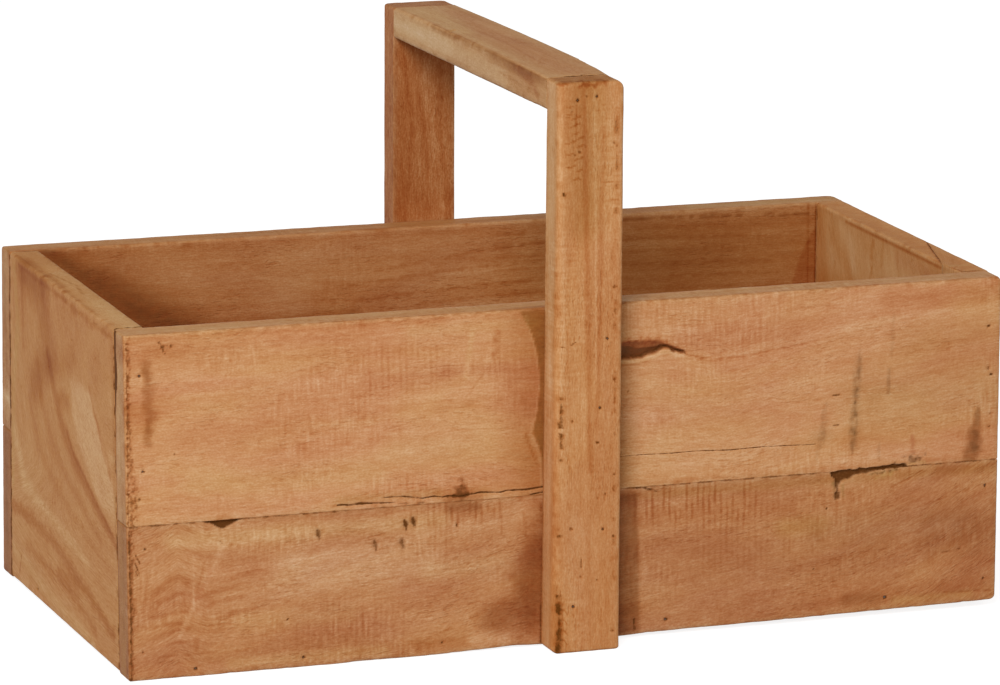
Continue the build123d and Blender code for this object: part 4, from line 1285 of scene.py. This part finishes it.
HANDLE_PIECES = (
    Board("front_upright", "front_post", "upright", "handle_wood", 61, UPRIGHT_MARKS,
          step=0.6, row_step=0.4, back_step=2, arrises=(2.6, 0.6, 0.6, 1.6), ends=1.2, wander=0.12,
          wear=0.3, handle=True, nails=("front_upright_nails", "front_bar_nails"),
          rounded=((0, 2, UPRIGHT_HALF, HANDLE_TOP, ((0, 4),)),
                   (0, 2, -UPRIGHT_HALF, HANDLE_TOP, ((0, 1.5),)), (0, 2, -UPRIGHT_HALF, 0, ((0, 2.6),))),
          more=((FRONT_POST_SIDE_MARKS, 1, 1, (1, 2)), (UPRIGHT_TOP_MARKS, 0, 1, (0, 1)))),
    Board("back_upright", "back_post", "rear_upright", "handle_wood", 67, BACK_UPRIGHT_MARKS,
          step=1, row_step=0.8, back_step=0.8, arrises=(2, 0.6, 0.6, 2), ends=1.2, wander=0.12,
          handle=True, nails=("back_upright_nails", "back_bar_nails"),
          more=((BACK_POST_SIDE_MARKS, 1, -1, (1, 2)), (BACK_POST_INNER_MARKS, 2, -1, (0, 2)))),
    Board("handle_bar", "bar", "bar", "handle_wood", 71, BAR_MARKS, (0, 1),
          step=0.9, row_step=0.6, back_step=1.5, arrises=(1.6, 1.6, 1.6, 0.5), ends=0.3, wander=0.12,
          crown=0.6, handle=True, fine_along=((-100, 2.5, 0.35),),
          rounded=((0, 2, UPRIGHT_HALF, HANDLE_TOP, ((FRONT_FACE, 3.8), (-84, 1.6), (-60, 0.4))),),
          more=((BAR_SIDE_MARKS, 1, 1, (1, 2)),)),
)


# Nails: their profile as (radius, depth) places, how far they are sunk and dented, and the frame's mouths
NAIL_SIDES = 14
NAIL_PROFILE = (
    (0.0, 0.0), (0.6, 0.05), (0.8, 0.25), (0.76, 0.6), (0.55, 0.9), (0.5, 1.4), (0.5, 8.0), (0.25, 9.5),
    (0.0, 10.5),
)
NAIL_SINK = 0.1
NAIL_DENT_SHARE = 0.12
NAIL_DENT_SEED = 5
MOUTH_WIDTH = 3.5
MOUTH_DEPTH = 0.01


def nail_surface(place, outward, seed):
    """Driven nail in millimetres: its profile turned round the nail's line, a little out of round."""
    radii, depths = np.array(NAIL_PROFILE[1:-1]).T
    turn = np.arange(NAIL_SIDES) * 2 * np.pi / NAIL_SIDES
    out = np.array(outward, float)
    aside = np.array([0.0, 0.0, 1.0])
    level = np.cross(aside, out)
    rim = np.stack([turn * 2, turn * 0 + seed, turn * 0], axis=-1)
    dent = 1 + NAIL_DENT_SHARE * noise(rim, 1.0, NAIL_DENT_SEED)
    ring = np.cos(turn)[:, None] * level + np.sin(turn)[:, None] * aside
    points = place - (depths + NAIL_SINK)[:, None, None] * out + radii[:, None, None] * dent[:, None] * ring
    poles = place - np.array([[NAIL_SINK], [NAIL_PROFILE[-1][1] + NAIL_SINK]]) * out
    return np.concatenate([points.reshape(-1, 3), poles]), grid_faces(len(radii), NAIL_SIDES)


# Nails that stand away from their CAD place on the front, in x and z
FRONT_NAIL_PLACES = {
    "front_left_corner_nails": ((-193.3, 12.7), (-192.2, 57.6), (-192.6, 91), (-193.8, 132.5)),
    "front_right_corner_nails": ((194.6, 13.5), (194.8, 56), (196.6, 88.5), (195.1, 128.2)),
    "front_floor_nails": ((-170.2, 3.5), (-122.1, 4.2), (-59.4, 5.6), (43.7, 7.1), (147.5, 8.5)),
    "front_upright_nails": ((10.2, 138), (6.9, 107.8), (8.6, 54), (-4.7, 20.5)),
    "front_bar_nails": ((-4, 242), (4.8, 243.5)),
}


def nail_mouths(node):
    """Middle of each nail's mouth in a group, in millimetres, leant with the wood, and the way out of it."""
    corners = np.array([vertex.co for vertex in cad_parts[node].data.vertices]) / MM
    axis = 0 if node in ("left_floor_nails", "right_floor_nails") else 1
    outward = np.zeros(3)
    outward[axis] = np.sign(corners[:, axis].mean())
    mouth = corners[np.abs(corners[:, axis]) > np.abs(corners[:, axis]).max() - MOUTH_DEPTH]
    if node in FRONT_NAIL_PLACES:
        return [np.array([x, mouth[0, 1], z]) for x, z in FRONT_NAIL_PLACES[node]], outward
    aside = [k for k in range(3) if k != axis]
    nearest = np.linalg.norm(mouth[:, None, aside] - mouth[None, :, aside], axis=2) < MOUTH_WIDTH
    middles = np.unique(np.round(nearest @ mouth / nearest.sum(axis=1, keepdims=True), 3), axis=0)
    lean = handle_lean if node.endswith(("upright_nails", "bar_nails")) else out_of_true
    return list(lean(middles)), outward


# Materials
class Nodes:
    """Adds and links the nodes of one shader tree."""

    def __init__(self, tree):
        self.tree = tree

    def add(self, kind, *inputs, out=0, **settings):
        """New node with its settings: inputs are sockets or values in order, None skips one."""
        node = self.tree.nodes.new(kind)
        for key, value in settings.items():
            setattr(node, key, value)
        shown = [socket for socket in node.inputs if socket.enabled]
        for socket, value in zip(shown, inputs):
            if isinstance(value, bpy.types.NodeSocket):
                self.tree.links.new(value, socket)
            elif value is not None:
                socket.default_value = value
        return [socket for socket in node.outputs if socket.enabled][out]

    def math(self, operation, first, second=0.0, third=0.0):
        """Sum, product or other operation on values."""
        return self.add("ShaderNodeMath", first, second, third, operation=operation)

    def blend(self, share, first, second):
        """Colour that goes from the first to the second by a share."""
        return self.add("ShaderNodeMix", share, first, second, data_type="RGBA")

    def grain(self, vector, along, across, detail=1.0, bend=0.0):
        """Noise about 0 whose cells are drawn out along the grain, to a length and width in millimetres."""
        stretch = (1 / along, 1 / across, 1 / across)
        cells = self.add("ShaderNodeVectorMath", vector, stretch, operation="MULTIPLY")
        field = self.add("ShaderNodeTexNoise", cells, 1.0, detail, None, None, bend)
        return self.math("SUBTRACT", field, 0.5)

    def spread(self, value, low, high, to_low=0.0, to_high=1.0):
        """Value from low to high spread to a new range and held there."""
        return self.add("ShaderNodeMapRange", value, low, high, to_low, to_high)

    def total(self, *terms):
        """Sum of (value, factor) pairs."""
        value = 0.0
        for term, factor in terms:
            value = self.math("MULTIPLY_ADD", term, factor, value)
        return value

    def looked_at(self, *rays):
        """1 where one of the named kinds of ray looks, 0 elsewhere."""
        light_path = self.tree.nodes.new("ShaderNodeLightPath").outputs
        seen = light_path[rays[0]]
        for ray in rays[1:]:
            seen = self.math("MAXIMUM", seen, light_path[ray])
        return seen


VECTOR = "NodeSocketVector"
COLOUR = "NodeSocketColor"
VALUE = "NodeSocketFloat"


def new_group(name, inputs, outputs):
    """Empty shader node group with named sockets, and its Nodes, input and output sockets."""
    tree = bpy.data.node_groups.new(name, "ShaderNodeTree")
    for label, kind in inputs.items():
        tree.interface.new_socket(label, in_out="INPUT", socket_type=kind)
    for label, kind in outputs.items():
        tree.interface.new_socket(label, in_out="OUTPUT", socket_type=kind)
    entry = tree.nodes.new("NodeGroupInput")
    leave = tree.nodes.new("NodeGroupOutput")
    return tree, Nodes(tree), entry.outputs, leave.inputs


# Layers of a board's figure: length and width of their cells in millimetres, detail and bend
FIGURE_LAYERS = {
    "clouds": (60, 24, 3.0, 0.5),
    "bands": (130, 6.5, 3.0, 0.35),
    "broad": (90, 30, 2.0),
    "mottle": (8, 4.5, 2.0, 0.4),
    "streaks": (13, 1.5, 2.0),
    "fibres": (3.4, 0.6),
    "specks": (1.0, 0.7),
    "pores": (3.6, 0.8, 0.0, 0.8),
    "pore patches": (34, 14),
    "strokes": (1.5, 10),
    "stroke patches": (46, 26),
    "saw beat": (30, 20),
    "saw patches": (3, 9, 2.0),
}
# What some layers are spread from, to 0 and 1
LAYER_SPREADS = {
    "clouds": (-0.14, 0.14),
    "pores": (0.10, 0.24),
    "pore patches": (-0.06, 0.1),
    "stroke patches": (-0.02, 0.14),
    "saw patches": (-0.14, 0.14),
}
# Shares of the layers in the fine and large shading and in the bumps
FINE_SHARES = {"fibres": 0.9, "streaks": 0.6, "specks": 0.95, "mottle": 0.5, "pores": 0.4}
LARGE_SHARES = {"bands": 0.9, "broad": 0.7}
BUMP_SHARES = {"fibres": -0.5, "pores": -0.7, "streaks": -0.3, "specks": -0.3, "strokes": -0.8}
# Saw teeth: gap between their marks in millimetres, how far their beat wanders and how they shade
SAW_GAP = 2.7
SAW_WOBBLE = 4.0
TOOTH_SPREAD = (-0.5, 1.0)
TOOTH_SHARE = 0.22


def timber_figure_group():
    """Grain of an old board: tone clouds, growth figure, fibres, specks, pores and saw marks.

    Shade is how far the tone darkens: 1 leaves it, more deepens it as a power of the colour.
    """
    name = "Timber figure"
    if name in bpy.data.node_groups:
        return bpy.data.node_groups[name]
    tree, nodes, given, put = new_group(
        name,
        {"Grain": VECTOR, "Sapwood": COLOUR, "Heartwood": COLOUR, "Figure": VALUE, "Fibre": VALUE,
         "Saw marks": VALUE},
        {"Color": COLOUR, "Shade": VALUE, "Height": VALUE},
    )
    place = given["Grain"]
    layers = {key: nodes.grain(place, *cells) for key, cells in FIGURE_LAYERS.items()}
    for key, limits in LAYER_SPREADS.items():
        layers[key] = nodes.spread(layers[key], *limits)
    layers["pores"] = nodes.math("MULTIPLY", layers["pores"], layers["pore patches"])
    strokes = nodes.math("MULTIPLY", layers["strokes"], layers["stroke patches"])
    strokes = nodes.math("MULTIPLY", strokes, given["Saw marks"])
    along = nodes.add("ShaderNodeSeparateXYZ", place)
    beat = nodes.total((along, 2 * np.pi / SAW_GAP), (layers["saw beat"], SAW_WOBBLE))
    teeth = nodes.spread(nodes.math("SINE", beat), *TOOTH_SPREAD)
    teeth = nodes.math("MULTIPLY", teeth, layers["saw patches"])
    teeth = nodes.math("MULTIPLY", teeth, nodes.add("ShaderNodeAttribute", attribute_name="saw", out=2))
    layers["strokes"] = nodes.math("MULTIPLY_ADD", teeth, TOOTH_SHARE, strokes)
    fine, large, height = (
        nodes.total(*((layers[key], share) for key, share in shares.items()))
        for shares in (FINE_SHARES, LARGE_SHARES, BUMP_SHARES)
    )
    shade = nodes.math("MULTIPLY_ADD", fine, given["Fibre"], layers["strokes"])
    shade = nodes.math("MULTIPLY_ADD", large, given["Figure"], shade)
    tree.links.new(nodes.blend(layers["clouds"], given["Sapwood"], given["Heartwood"]), put["Color"])
    tree.links.new(nodes.math("ADD", shade, 1.0), put["Shade"])
    tree.links.new(height, put["Height"])
    return tree


# Handling: how stains and painted shade deepen the tone, how films and crumbs break up, where dirt ends, and
# how rough each is
STAIN_AND_SHADE_SHARE = 0.5
LEAST_SHADE = 0.55
FILM_CELLS = (5, 3, 2.0)
FILM_SHARE = 1.2
CRUMB_CELLS = (1.0, 0.8, 2.0)
CRUMB_SHARE = 0.7
DIRT_EDGE_SHARES = (0.28, 0.72)
SHADE_ROUGHNESS = (0.7, 1.4, 0.50, 0.68)
DIRT_ROUGHNESS_SHARE = 0.25


def handling_group():
    """Wear, dirt and painted shade of a used board, from its point attributes: stains, red, pale edges,
    grime and dirt.

    Dirt is a soft field whose middle value is its edge, made ragged by crumbs of noise and then sharpened.
    """
    name = "Handling marks"
    if name in bpy.data.node_groups:
        return bpy.data.node_groups[name]
    tree, nodes, given, put = new_group(
        name,
        {"Grain": VECTOR, "Color": COLOUR, "Shade": VALUE, "Red wood": COLOUR, "Yellow wood": COLOUR,
         "Worn edge": COLOUR, "Grime": COLOUR, "Dirt": COLOUR},
        {"Color": COLOUR, "Roughness": VALUE},
    )
    drawn = {
        key: nodes.add("ShaderNodeAttribute", attribute_name=key, out=2) for key in ("dark", "worn", *TINTS)
    }
    tone = nodes.blend(nodes.spread(drawn["red"], 0.0, 1.0), given["Color"], given["Red wood"])
    tone = nodes.blend(nodes.spread(drawn["red"], 0.0, -1.0), tone, given["Yellow wood"])
    tone = nodes.blend(drawn["worn"], tone, given["Worn edge"])
    power = nodes.math("MULTIPLY_ADD", drawn["stain_and_shade"], STAIN_AND_SHADE_SHARE, given["Shade"])
    tone = nodes.add("ShaderNodeGamma", tone, nodes.math("MAXIMUM", power, LEAST_SHADE))
    # grime's grey-brown coat, which also lays painted shade and painted shadow where marks stand in for them
    smears = nodes.math("MULTIPLY", drawn["grime"], nodes.grain(given["Grain"], *FILM_CELLS))
    film_and_shade = nodes.total((drawn["grime"], 1.0), (smears, FILM_SHARE))
    tone = nodes.blend(nodes.spread(film_and_shade, 0.0, 1.0), tone, given["Grime"])
    dirt = nodes.total((drawn["dark"], 1.0), (nodes.grain(given["Grain"], *CRUMB_CELLS), CRUMB_SHARE))
    dirt = nodes.spread(dirt, *DIRT_EDGE_SHARES)
    tree.links.new(nodes.blend(dirt, tone, given["Dirt"]), put["Color"])
    rough = nodes.spread(given["Shade"], *SHADE_ROUGHNESS)
    tree.links.new(nodes.math("MULTIPLY_ADD", dirt, DIRT_ROUGHNESS_SHARE, rough), put["Roughness"])
    return tree


# Figure, fibre and saw-mark strength and sheen of each finish
TIMBER_STRENGTH_SHARES = {
    "upper": (0.35, 0.46, 0.50, 0.14),
    "lower": (0.34, 0.45, 0.50, 0.14),
    "back": (0.55, 0.38, 0.25, 0.14),
    "end": (0.14, 0.36, 0.08, 0.05),
    "far_end": (0.30, 0.30, 0.05, 0.14),
    "floor": (0.50, 0.40, 0.40, 0.10),
    "upright": (0.50, 0.40, 0.40, 0.03),
    "rear_upright": (0.60, 0.50, 0.10, 0.10),
    "bar": (0.30, 0.30, 0.15, 0.12),
}
BUMP_DEPTH = 0.00022
BUMP_STRENGTH_SHARE = 0.6
HANDLING_COLOURS = {
    "Red wood": "red", "Yellow wood": "yellow", "Worn edge": "worn", "Grime": "grime", "Dirt": "dirt",
}
# Nail steel: scale and detail of its blotches, where rust begins and is full, roughness and sheen
BLOTCH_SCALE = 900.0
BLOTCH_DETAIL = 3.0
RUST_SPREAD = (0.4, 0.65)
STEEL_ROUGHNESS = (0.3, 0.7, 0.8, 0.95)
NAIL_SHEEN_SHARE = 0.03


def new_material(name):
    """Empty material with a Principled shader, and its Nodes."""
    material = bpy.data.materials.new(name)
    material.use_nodes = True
    shader = material.node_tree.nodes["Principled BSDF"]
    return material, Nodes(material.node_tree), shader


def timber_material(finish, settings):
    """Oiled old board: the timber figure in its two tones, handling marks and a bump of the grain."""
    name = f"{finish}_timber"
    if name in bpy.data.materials:
        return bpy.data.materials[name]
    material, nodes, shader = new_material(name)
    tree = material.node_tree
    colours = settings.colours
    figure = tree.nodes.new("ShaderNodeGroup")
    figure.node_tree = timber_figure_group()
    marks = tree.nodes.new("ShaderNodeGroup")
    marks.node_tree = handling_group()
    place = nodes.add("ShaderNodeAttribute", attribute_name="grain", out=1)
    tree.links.new(place, figure.inputs["Grain"])
    figure.inputs["Sapwood"].default_value = (*getattr(colours, f"{finish}_sap"), 1)
    figure.inputs["Heartwood"].default_value = (*getattr(colours, f"{finish}_heart"), 1)
    *strengths, sheen = TIMBER_STRENGTH_SHARES[finish]
    for key, value in zip(("Figure", "Fibre", "Saw marks"), strengths):
        figure.inputs[key].default_value = value
    tree.links.new(place, marks.inputs["Grain"])
    for key, tone in HANDLING_COLOURS.items():
        marks.inputs[key].default_value = (*getattr(colours, tone), 1)
    tree.links.new(figure.outputs["Color"], marks.inputs["Color"])
    tree.links.new(figure.outputs["Shade"], marks.inputs["Shade"])
    tree.links.new(marks.outputs["Color"], shader.inputs["Base Color"])
    tree.links.new(marks.outputs["Roughness"], shader.inputs["Roughness"])
    bump = tree.nodes.new("ShaderNodeBump")
    bump.inputs["Strength"].default_value = BUMP_STRENGTH_SHARE
    bump.inputs["Distance"].default_value = BUMP_DEPTH
    tree.links.new(figure.outputs["Height"], bump.inputs["Height"])
    tree.links.new(bump.outputs["Normal"], shader.inputs["Normal"])
    shader.inputs["Specular IOR Level"].default_value = sheen
    return material


def steel_material(settings):
    """Dull dark nail steel with rusty blotches."""
    name = "nail_steel"
    if name in bpy.data.materials:
        return bpy.data.materials[name]
    material, nodes, shader = new_material(name)
    tree = material.node_tree
    place = nodes.add("ShaderNodeTexCoord", out=3)
    blotch = nodes.add("ShaderNodeTexNoise", place, BLOTCH_SCALE, BLOTCH_DETAIL)
    share = nodes.spread(blotch, *RUST_SPREAD)
    tone = nodes.blend(share, (*settings.colours.steel, 1), (*settings.colours.rust, 1))
    tree.links.new(tone, shader.inputs["Base Color"])
    tree.links.new(nodes.spread(blotch, *STEEL_ROUGHNESS), shader.inputs["Roughness"])
    shader.inputs["Specular IOR Level"].default_value = NAIL_SHEEN_SHARE
    return material


# Settings
def colour(name, red, green, blue):
    """Colour property, written as it shows in plain light."""
    return bpy.props.FloatVectorProperty(
        name=name, description=f"Linear colour of the {name.lower()}", subtype="COLOR", size=3, min=0, max=1,
        default=(red, green, blue),
    )


class ToteColours(bpy.types.PropertyGroup):
    """Colours of the tote's timbers, dirt and nails."""

    upper_sap: colour("Upper boards' sapwood", 0.575, 0.295, 0.124)
    upper_heart: colour("Upper boards' heartwood", 0.555, 0.258, 0.115)
    lower_sap: colour("Lower boards' sapwood", 0.500, 0.232, 0.092)
    lower_heart: colour("Lower boards' heartwood", 0.440, 0.180, 0.072)
    back_sap: colour("Back boards' sapwood", 0.490, 0.200, 0.066)
    back_heart: colour("Back boards' heartwood", 0.440, 0.162, 0.052)
    end_sap: colour("Left end's sapwood", 0.530, 0.258, 0.092)
    end_heart: colour("Left end's heartwood", 0.495, 0.224, 0.076)
    far_end_sap: colour("Right end's sapwood", 0.590, 0.272, 0.088)
    far_end_heart: colour("Right end's heartwood", 0.545, 0.236, 0.071)
    floor_sap: colour("Floor boards' sapwood", 0.420, 0.200, 0.080)
    floor_heart: colour("Floor boards' heartwood", 0.370, 0.160, 0.062)
    upright_sap: colour("Front upright's sapwood", 0.545, 0.258, 0.099)
    upright_heart: colour("Front upright's heartwood", 0.505, 0.222, 0.085)
    rear_upright_sap: colour("Rear upright's sapwood", 0.424, 0.148, 0.043)
    rear_upright_heart: colour("Rear upright's heartwood", 0.376, 0.120, 0.032)
    bar_sap: colour("Bar's sapwood", 0.532, 0.280, 0.114)
    bar_heart: colour("Bar's heartwood", 0.482, 0.236, 0.093)
    red: colour("Reddest wood", 0.480, 0.190, 0.078)
    yellow: colour("Yellowest wood", 0.520, 0.290, 0.098)
    worn: colour("Worn edges", 0.490, 0.285, 0.135)
    # colour of grime, and of the painted shade and shadow that marks lay with it
    grime: colour("Grime", 0.105, 0.044, 0.012)
    dirt: colour("Dirt in cracks", 0.122, 0.038, 0.005)
    steel: colour("Nail steel", 0.125, 0.046, 0.008)
    rust: colour("Nail rust", 0.175, 0.062, 0.011)


class ToteShape(bpy.types.PropertyGroup):
    """Wear of the tote's boards."""

    edge_dirt: bpy.props.FloatProperty(
        name="Edge dirt", description="Share of dirt caught along the edges", default=0.9, min=0.0, max=1.0,
        subtype="FACTOR",
    )
    edge_wear: bpy.props.FloatProperty(
        name="Edge wear", description="Share of pale wear along the edges", default=0.45, min=0.0, max=1.0,
        subtype="FACTOR",
    )


class ToteStage(bpy.types.PropertyGroup):
    """Studio light, floor and camera."""

    key_power: bpy.props.FloatProperty(
        name="Key light", description="Power of the large soft light in front on the left", default=70.0,
        min=0.0, unit="POWER",
    )
    sky: bpy.props.FloatProperty(
        name="Even light", description="Strength of the even light from all round", default=0.43, min=0.0,
    )
    lens: bpy.props.FloatProperty(
        name="Lens", description="Camera's focal length in millimetres", default=217.48, min=1.0,
    )


class ToteSettings(bpy.types.PropertyGroup):
    """All that a user would change on the tote."""

    colours: bpy.props.PointerProperty(
        type=ToteColours, name="Colours", description="Timber, dirt and nail colours",
    )
    shape: bpy.props.PointerProperty(type=ToteShape, name="Shape", description="Wear of the boards")
    stage: bpy.props.PointerProperty(type=ToteStage, name="Stage", description="Light, floor and camera")


# Operators
def dress(boards, context):
    """Dress each of the boards in turn."""
    for board in boards:
        dress_board(board, context.scene.tote)
    return {"FINISHED"}


class DressFrontWall(bpy.types.Operator):
    """Dress the front wall's two boards"""

    bl_idname = "tote.front_wall"
    bl_label = "Front wall"

    def execute(self, context):
        return dress(FRONT_BOARDS, context)


class DressBackWall(bpy.types.Operator):
    """Dress the back wall's two boards"""

    bl_idname = "tote.back_wall"
    bl_label = "Back wall"

    def execute(self, context):
        return dress(BACK_BOARDS, context)


class DressEnds(bpy.types.Operator):
    """Dress the two end boards and the scarfed repair piece"""

    bl_idname = "tote.ends"
    bl_label = "End boards"

    def execute(self, context):
        return dress(END_BOARDS, context)


class DressFloor(bpy.types.Operator):
    """Dress the two floor boards"""

    bl_idname = "tote.floor"
    bl_label = "Floor boards"

    def execute(self, context):
        return dress(FLOOR_BOARDS, context)


class DressHandle(bpy.types.Operator):
    """Dress the handle's two uprights and its bar"""

    bl_idname = "tote.handle"
    bl_label = "Handle"

    def execute(self, context):
        return dress(HANDLE_PIECES, context)


class DriveNails(bpy.types.Operator):
    """Drive the nails of every joint"""

    bl_idname = "tote.nails"
    bl_label = "Nails"

    def execute(self, context):
        groups = [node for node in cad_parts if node.endswith("_nails")]
        if not groups:
            raise RuntimeError("the frame has no nails")
        for node in sorted(groups):
            places, outward = nail_mouths(node)
            points, quads, triangles = [], [], []
            for number, place in enumerate(places):
                shape, (sides, tips) = nail_surface(place, outward, number)
                quads.append(sides + number * len(shape))
                triangles.append(tips + number * len(shape))
                points.append(shape)
            shapes = [np.concatenate(parts) for parts in (points, quads, triangles)]
            piece = make_mesh(f"{node}_steel", *shapes, {})
            piece.data.materials.append(steel_material(context.scene.tote))
            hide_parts(node)
            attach(piece, "root")
        return {"FINISHED"}


# Stage, in metres: camera, floor's half width, levels of its paint and glow, and key light
CAMERA_PLACE = (-0.87091, -2.48877, 0.67949)
CAMERA_FORWARD = (0.32358, 0.92262, -0.20992)
CAMERA_ROLL = 0.00323
CAMERA_REACH = 100.0
SENSOR_WIDTH_MM = 36.0
FLOOR_HALF = 6.0
FLOOR_PAINT_LEVEL = 0.75
FLOOR_THIN_PAINT_LEVEL = 0.35
FLOOR_GLOW_LEVEL = 0.86
WHITE = (1, 1, 1, 1)
KEY_PLACE = (-1.5, -2.3, 1.9)
KEY_TARGET = (0.0, 0.0, 0.1)
KEY_SIZE = 1.3


class SetStage(bpy.types.Operator):
    """Lay the floor and set the light and the camera"""

    bl_idname = "tote.stage"
    bl_label = "Stage"

    def execute(self, context):
        scene = context.scene
        stage = scene.tote.stage
        scene.view_settings.view_transform = "Standard"
        lay_floor()
        hang_key_light(stage)
        paint_world(scene, stage)
        camera = bpy.data.objects.new("camera", bpy.data.cameras.new("camera"))
        camera.data.sensor_width = SENSOR_WIDTH_MM
        camera.data.lens = stage.lens
        camera.data.clip_end = CAMERA_REACH
        camera.location = CAMERA_PLACE
        turn = Vector(CAMERA_FORWARD).to_track_quat("-Z", "Y") @ Quaternion((0, 0, 1), CAMERA_ROLL)
        camera.rotation_mode = "QUATERNION"
        camera.rotation_quaternion = turn
        scene.collection.objects.link(camera)
        scene.camera = camera
        return {"FINISHED"}


def lay_floor():
    """White floor that keeps the tote's shadow: diffuse paint, and glow where a camera or mirror looks."""
    mesh = bpy.data.meshes.new("floor")
    corners = [(x * FLOOR_HALF, y * FLOOR_HALF, 0) for x, y in ((-1, -1), (1, -1), (1, 1), (-1, 1))]
    mesh.from_pydata(corners, [], [(0, 1, 2, 3)])
    floor = bpy.data.objects.new("floor", mesh)
    bpy.context.scene.collection.objects.link(floor)
    material = bpy.data.materials.new("floor_paper")
    material.use_nodes = True
    tree = material.node_tree
    tree.nodes.clear()
    nodes = Nodes(tree)
    seen = nodes.looked_at("Is Camera Ray", "Is Glossy Ray", "Is Transmission Ray")
    paint, thin_paint = (
        nodes.add("ShaderNodeBsdfDiffuse", (level, level, level, 1))
        for level in (FLOOR_PAINT_LEVEL, FLOOR_THIN_PAINT_LEVEL)
    )
    glow = nodes.add("ShaderNodeEmission", WHITE, FLOOR_GLOW_LEVEL)
    lit = nodes.add("ShaderNodeAddShader", thin_paint, glow)
    surface = nodes.add("ShaderNodeMixShader", seen, paint, lit)
    put = tree.nodes.new("ShaderNodeOutputMaterial")
    tree.links.new(surface, put.inputs["Surface"])
    mesh.materials.append(material)


def hang_key_light(stage):
    """Large soft square light in front on the left, above the tote."""
    lamp = bpy.data.lights.new("key_light", "AREA")
    lamp.energy = stage.key_power
    lamp.size = KEY_SIZE
    light = bpy.data.objects.new("key_light", lamp)
    light.location = KEY_PLACE
    light.rotation_mode = "QUATERNION"
    light.rotation_quaternion = (Vector(KEY_TARGET) - Vector(KEY_PLACE)).to_track_quat("-Z", "Y")
    bpy.context.scene.collection.objects.link(light)


def paint_world(scene, stage):
    """Even white light from all round, and plain white where a camera or mirror looks."""
    world = bpy.data.worlds.new("studio")
    world.use_nodes = True
    tree = world.node_tree
    tree.nodes.clear()
    nodes = Nodes(tree)
    seen = nodes.looked_at("Is Camera Ray", "Is Transmission Ray")
    even = nodes.add("ShaderNodeBackground", WHITE, stage.sky)
    white = nodes.add("ShaderNodeBackground", WHITE, 1.0)
    put = tree.nodes.new("ShaderNodeOutputWorld")
    tree.links.new(nodes.add("ShaderNodeMixShader", seen, even, white), put.inputs["Surface"])
    scene.world = world


OPERATORS = (DressFrontWall, DressBackWall, DressEnds, DressFloor, DressHandle, DriveNails, SetStage)


class TotePanel(bpy.types.Panel):
    """The tote's settings and the steps that dress it"""

    bl_idname = "VIEW3D_PT_tote"
    bl_label = "Tote box"
    bl_space_type = "VIEW_3D"
    bl_region_type = "UI"
    bl_category = "Tote box"

    def draw(self, context):
        settings = context.scene.tote
        for group in (settings.shape, settings.stage, settings.colours):
            for key in group.bl_rna.properties.keys():
                if key not in ("rna_type", "name"):
                    self.layout.prop(group, key)
        for operator in OPERATORS:
            self.layout.operator(operator.bl_idname)


CLASSES = (ToteColours, ToteShape, ToteStage, ToteSettings, *OPERATORS, TotePanel)


def register():
    for item in CLASSES:
        bpy.utils.register_class(item)
    bpy.types.Scene.tote = bpy.props.PointerProperty(type=ToteSettings)


def unregister():
    del bpy.types.Scene.tote
    for item in reversed(CLASSES):
        bpy.utils.unregister_class(item)


def main():
    """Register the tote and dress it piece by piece."""
    register()
    bpy.ops.tote.front_wall()
    bpy.ops.tote.back_wall()
    bpy.ops.tote.ends()
    bpy.ops.tote.floor()
    bpy.ops.tote.handle()
    bpy.ops.tote.nails()
    bpy.ops.tote.stage()


if __name__ == "__main__":
    main()
